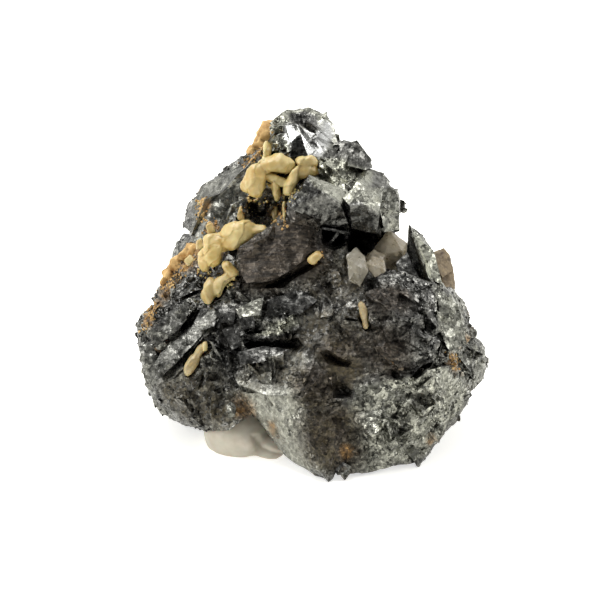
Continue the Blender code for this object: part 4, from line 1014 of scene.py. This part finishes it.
def makeSiderite(name, shape, share=1.0, stain=0.0):
    points, triangles = remeshed(*shape, siderite["voxel"])
    points = relaxed(points, triangles, siderite["rounds"])
    normals = normalsOf(points, triangles)
    relief = siderite["swell"] + siderite["ripple"] * softField(points, 1.1, 41)
    relief += 0.5 * siderite["ripple"] * softField(points, 0.5, 42)
    relief += siderite["lobe"] * (0.3 - crystalField(points, siderite["cell"], 43))
    relief += siderite["facet"] * (0.3 - crystalField(points, siderite["cell"] / 2.2, 44))
    # Thin curved plates lie over each other, each with one sharp edge.
    across = points @ np.array(siderite["across"]) + 1.6 * softField(points, 2.6, 48)
    relief += siderite["step"] * (across / siderite["plate"] % 1 - 0.5)
    bent = wander(points, 1.7, 45)
    points = points + normals * (relief * share)[:, None] + bent * siderite["bend"] * share
    points = relaxed(points, triangles, 2)
    return pieceFrom(name, points, triangles, {
        "stain": np.full(len(points), stain),
        "hollow": hollowShare(points, triangles, 8, 0.08),
    }, smooth=True)


def sideriteMaterial():
    # Siderite, an iron carbonate: honey-tan and waxy, a little light passes into the thin edges; the
    # ridges carry a painted highlight and the hollows painted shade.
    material, tree, place = newMaterial("waxy siderite")
    _, colour = clouded(tree, place, 4.5, 4.0, 0.6, ((0.36, "#cbb87c"), (0.66, "#bb9a4c")))
    grain = add(tree, "ShaderNodeTexNoise",
                {"Vector": place, "Scale": perSize(0.35), "Detail": 3.0, "Roughness": 0.6})
    hollow, stain = (add(tree, "ShaderNodeAttribute", attribute_name=label).outputs["Fac"]
                     for label in ("hollow", "stain"))
    # Painted highlight on the ridges and edges, painted shade in the hollows.
    edge = add(tree, "ShaderNodeMapRange", {"Value": hollow, "From Min": -0.2, "From Max": -1.4})
    colour = add(tree, "ShaderNodeMix", {0: edge, 6: colour, 7: linear("#e0cf92")}, data_type="RGBA")
    colour = paintedShadeInHollows(tree, colour, "#6f5526", 0.15)
    patchy = add(tree, "ShaderNodeMapRange", {"Value": grain, "From Min": 0.35, "From Max": 0.6,
                                              "To Min": 0.5})
    share = add(tree, "ShaderNodeMath", {0: stain, 1: patchy}, operation="MULTIPLY")
    colour = add(tree, "ShaderNodeMix", {0: share, 6: colour, 7: linear("#85755a")}, data_type="RGBA")
    # Faint growth lines: noise that is long one way.
    drawn = add(tree, "ShaderNodeMapping", {"Vector": place, "Rotation": (0.4, 0.2, 0.6),
                                            "Scale": (0.16, 1.0, 1.0)})
    lines = add(tree, "ShaderNodeTexNoise",
                {"Vector": drawn, "Scale": perSize(0.45), "Detail": 3.0, "Roughness": 0.6})
    ridged = add(tree, "ShaderNodeBump", {"Strength": 0.5, "Distance": 0.14 * mm, "Height": lines})
    bumps = add(tree, "ShaderNodeBump", {"Strength": 0.35, "Distance": 0.06 * mm, "Height": grain,
                                         "Normal": ridged})
    painted(tree, {"Base Color": colour, "Roughness": 0.42, "IOR": 1.7, "Subsurface Weight": 0.15,
                   "Subsurface Scale": 0.6 * mm, "Normal": bumps})
    return material


# Iron crusts: earthy limonite in rounded crumbs

crust = {
    "voxel": 0.2,
    "cell": 0.75,
    "height": 0.36,
    "swell": 0.2,
    "bend": 0.6,
}


def makeCrust(name):
    points, triangles = remeshed(*nodeShape(name), crust["voxel"])
    points = relaxed(points, triangles, 8)
    normals = normalsOf(points, triangles)
    relief = crust["swell"] + crust["height"] * (0.45 - crystalField(points, crust["cell"], 51))
    relief += 0.2 * softField(points, 0.6, 52)
    points = points + normals * relief[:, None] + wander(points, 1.3, 55) * crust["bend"]
    return pieceFrom(name + "_crumbs", points, triangles, {
        "hollow": hollowShare(points, triangles, 6, 0.12),
    })


# Limonite, an iron rust: orange-brown and dull, with painted shade dark brown in the hollows, and pale where
# it is rubbed.
limonite = {
    "cloud": 1.3,
    "detail": 5.0,
    "harshness": 0.65,
    "colours": ((0.33, "#9c6f36"), (0.66, "#d9b87c")),
    "hollow": "#4a3018",
    "bump": 0.6,
    "bumpHeight": 0.12,
    "surface": {"Roughness": 0.75},
}


# Quartz: smoky prisms with a dusty skin

quartz = {"longestEdge": 0.35, "height": 0.08, "chipCell": 1.1, "chip": 0.35}


# The quartz faces that show most, given as the standing crystals are.
quartzFaces = {
    "pale": ((352, 288), 0.0, (
        (346, 255, -0.6), (355, 249, -1.2), (365, 256, -0.8), (368, 271, 0.0), (360, 287, 0.7),
        (349, 281, 0.5), (357, 266, 0.8))),
    "grey": ((378, 280), 0.0, (
        (365, 263, -0.4), (373, 256, -1.0), (384, 260, -1.2), (386, 271, -0.4), (375, 277, 0.4),
        (374, 266, 0.4))),
}


def makeQuartz():
    points, triangles = nodeShape("quartz")
    morePoints, moreTriangles, _ = standingShape(quartzFaces)
    triangles = np.vstack([triangles, moreTriangles + len(points)])
    points, triangles = split(np.vstack([points, morePoints]), triangles, quartz["longestEdge"])
    normals = normalsOf(points, triangles)
    relief = quartz["height"] * softField(points, 0.9, 61)
    relief += quartz["chip"] * (0.3 - crystalField(points, quartz["chipCell"], 62))
    points = points + normals * relief[:, None]
    places = seenAt(points)
    return pieceFrom("quartzPrisms", points, triangles, {
        "pale": within(places, ((340, 244), (364, 250), (367, 272), (360, 292), (342, 292)), 4.0),
        "hollow": hollowShare(points, triangles, 6, 0.2),
    })


def quartzMaterial():
    # Smoky quartz: clear glassy crystal, grey-brown through its depth, with dust on its skin.
    material, tree, place = newMaterial("smoky quartz")
    cloud, smoke = clouded(tree, place, 1.6, 4.0, 0.6, ((0.35, "#c4b596"), (0.7, "#e2d8c2")))
    pale = add(tree, "ShaderNodeAttribute", attribute_name="pale").outputs["Fac"]
    milky = add(tree, "ShaderNodeMix", {0: pale, 6: smoke, 7: linear("#bfb7a2")}, data_type="RGBA")
    dusty = add(tree, "ShaderNodeMapRange", {"Value": cloud, "From Min": 0.3, "From Max": 0.7,
                                             "To Min": 0.16, "To Max": 0.5})
    bumps = add(tree, "ShaderNodeBump", {"Strength": 0.3, "Distance": 0.08 * mm, "Height": cloud})
    depth = add(tree, "ShaderNodeVolumeAbsorption", {"Color": linear("#a8987c"), "Density": 60.0})
    painted(tree, {"Base Color": milky, "Roughness": dusty, "IOR": 1.54, "Transmission Weight": 0.55,
                   "Normal": bumps}, Volume=depth)
    return material


# Ankerite: brown blocks with stepped cleavage

ankerite = {"longestEdge": 0.4, "cell": 1.2, "height": 0.3}


def makeAnkerite():
    points, triangles = split(*nodeShape("ankerite"), ankerite["longestEdge"])
    normals = normalsOf(points, triangles)
    relief = ankerite["height"] * (0.32 - crystalField(points, ankerite["cell"], 71))
    points = points + normals * relief[:, None]
    return pieceFrom("ankeriteBlocks", points, triangles, {
        "hollow": hollowShare(points, triangles, 6, 0.15),
    })


# Weathered ankerite: dull brown with rusty and olive patches, and painted shade near-black in the hollows.
weatheredAnkerite = {
    "cloud": 1.4,
    "detail": 5.0,
    "harshness": 0.65,
    "colours": ((0.35, "#4a3a26"), (0.68, "#998767")),
    "hollow": "#231a10",
    "bump": 0.5,
    "bumpHeight": 0.1,
    "surface": {"Roughness": 0.6},
}


# Putty: a soft pinch folded over itself

putty = {"voxel": 0.25, "rounds": 14, "swell": 0.2, "dent": 0.22, "crease": 0.5}
# The fold between the two pinches, as an outline in the photograph.
puttyCrease = ((252, 436), (258, 436), (262, 446), (276, 452), (290, 455), (288, 458), (270, 456),
               (256, 450))


def makePutty():
    points, triangles = remeshed(*nodeShape("putty"), putty["voxel"])
    points = relaxed(points, triangles, putty["rounds"])
    normals = normalsOf(points, triangles)
    relief = putty["swell"] + putty["dent"] * softField(points, 3.4, 81) + 0.05 * softField(points, 0.9, 82)
    points = points + normals * relief[:, None]
    points -= normals * (putty["crease"] * within(seenAt(points), puttyCrease, 5.0))[:, None]
    points[:, 2] = np.maximum(points[:, 2], 0.0)
    return pieceFrom("puttyLump", points, triangles, {
        "hollow": hollowShare(points, triangles, 12, 0.2),
    }, smooth=True)


# Mounting putty: off-white and matt, kneaded, with painted shade grey in its folds.
kneadedPutty = {
    "cloud": 3.0,
    "detail": 4.0,
    "harshness": 0.6,
    "colours": ((0.35, "#b3ac9c"), (0.7, "#c8c2b4")),
    "hollow": "#8d8473",
    "bump": 0.25,
    "bumpHeight": 0.1,
    "surface": {"Roughness": 0.6, "Subsurface Weight": 0.2, "Subsurface Scale": 1.2 * mm},
}


# Floor, lights and camera

studio = {
    "floor": 3000.0,
    "floorBelow": 0.02,      # so that it doesn't meet the flat foot of the stone
    "floorColour": "#f4f3ea",
    "floorGlow": 0.62,
    "skyBack": 1.0,          # what the far side of the room gives
    "skyFront": 0.05,        # the side the camera stands on stays dark
    "skyTop": 0.8,
}
# name: place, size, power in watts
lamps = {
    "overhead": ((-120, 160, 620), 420, 3.2),
    "left": ((-620, -60, 330), 360, 1.6),
    "right": ((560, 60, 300), 300, 1.0),
}


def makeFloor():
    half, below = studio["floor"] / 2, studio["floorBelow"]
    corners = [(x * half, y * half, -below) for x, y in ((-1, -1), (1, -1), (1, 1), (-1, 1))]
    floor = pieceFrom("floor", np.array(corners), np.array([(0, 1, 2), (0, 2, 3)]))
    material, tree, _ = newMaterial("plain pale table")
    painted(tree, {"Base Color": linear(studio["floorColour"]), "Roughness": 0.8,
                   "Emission Color": (1.0, 1.0, 1.0, 1.0), "Emission Strength": studio["floorGlow"]})
    floor.data.materials.append(material)


def makeSky():
    world = bpy.data.worlds.new("studio")
    bpy.context.scene.world = world
    world.use_nodes = True
    tree = world.node_tree
    tree.nodes.clear()
    ways = add(tree, "ShaderNodeSeparateXYZ",
               {0: add(tree, "ShaderNodeTexCoord").outputs["Generated"]}).outputs
    depth = add(tree, "ShaderNodeMapRange", {"Value": ways[1], "From Min": -0.8, "From Max": 0.2,
                                             "To Min": studio["skyFront"], "To Max": studio["skyBack"]})
    height = add(tree, "ShaderNodeMapRange", {"Value": ways[2], "From Min": 0.5, "From Max": 0.95,
                                              "To Max": studio["skyTop"]})
    light = add(tree, "ShaderNodeMath", {0: depth, 1: height}, operation="MAXIMUM")
    # The room shows plain white behind the stone; the dark side is only in its reflections.
    seen = add(tree, "ShaderNodeLightPath").outputs["Is Camera Ray"]
    strength = add(tree, "ShaderNodeMix", {0: seen, 2: light, 3: 1.0}, data_type="FLOAT")
    glow = add(tree, "ShaderNodeBackground", {"Color": (1.0, 1.0, 1.0, 1.0), "Strength": strength})
    add(tree, "ShaderNodeOutputWorld", {"Surface": glow})


def makeLamps():
    for name, (place, size, power) in lamps.items():
        data = bpy.data.lights.new(name, "AREA")
        data.shape = "SQUARE"
        data.size = size * mm
        data.energy = power
        lamp = bpy.data.objects.new(name, data)
        lamp.location = Vector(place) * mm
        lamp.rotation_euler = (Vector(camera["aim"]) * mm - lamp.location).to_track_quat("-Z", "Y").to_euler()
        bpy.context.collection.objects.link(lamp)


def makeCamera():
    data = bpy.data.cameras.new("camera")
    data.lens = camera["lens"]
    data.sensor_width = camera["sensor"]
    data.clip_start = 10 * mm
    data.clip_end = 20.0
    eye = bpy.data.objects.new("camera", data)
    start, direction = fromCamera(camera["imageSide"] / 2, camera["imageSide"] / 2)
    eye.location = start * mm
    eye.rotation_euler = direction.to_track_quat("-Z", "Y").to_euler()
    bpy.context.collection.objects.link(eye)
    bpy.context.scene.camera = eye


makeCamera()
makeFloor()
makeSky()
makeLamps()
bpy.context.scene.view_settings.view_transform = "Standard"
print("studio ready")

metal = tetrahedriteMaterial()
oreBody = makeOre()
settle(oreBody, "tetrahedrite", metal, "tetrahedrite")
settle(makeStanding(), "tetrahedrite", metal)
settle(makeDruse(oreBody, "smallCrystals", druse, metal), "tetrahedrite", metal)
settle(makeDruse(oreBody, "largeCrystals", rubble, metal), "tetrahedrite", metal)

waxy = sideriteMaterial()
for node, (share, stain) in sideritePieces.items():
    settle(makeSiderite(node + "_crystals", nodeShape(node), share, stain), "siderite", waxy, node)
settle(makeSiderite("sideriteSplinters", standingShape(splinters)[:2], 0.45, 0.3), "siderite", waxy)
settle(makeCrumbs(oreBody, "sideriteFlakes", flakeGrounds, crumbs, waxy), "siderite", waxy)
rusty = mottledMaterial("earthy limonite", limonite)
settle(makeCrumbs(oreBody, "crustCrumbs", crumbGrounds, crumbs, rusty), "iron_crust", rusty)
for node in ("crust_summit", "crust_left"):
    settle(makeCrust(node), "iron_crust", rusty, node)
settle(makeQuartz(), "quartz", quartzMaterial(), "quartz")
settle(makeAnkerite(), "ankerite", mottledMaterial("weathered ankerite", weatheredAnkerite), "ankerite")
settle(makePutty(), "putty", mottledMaterial("kneaded putty", kneadedPutty), "putty")
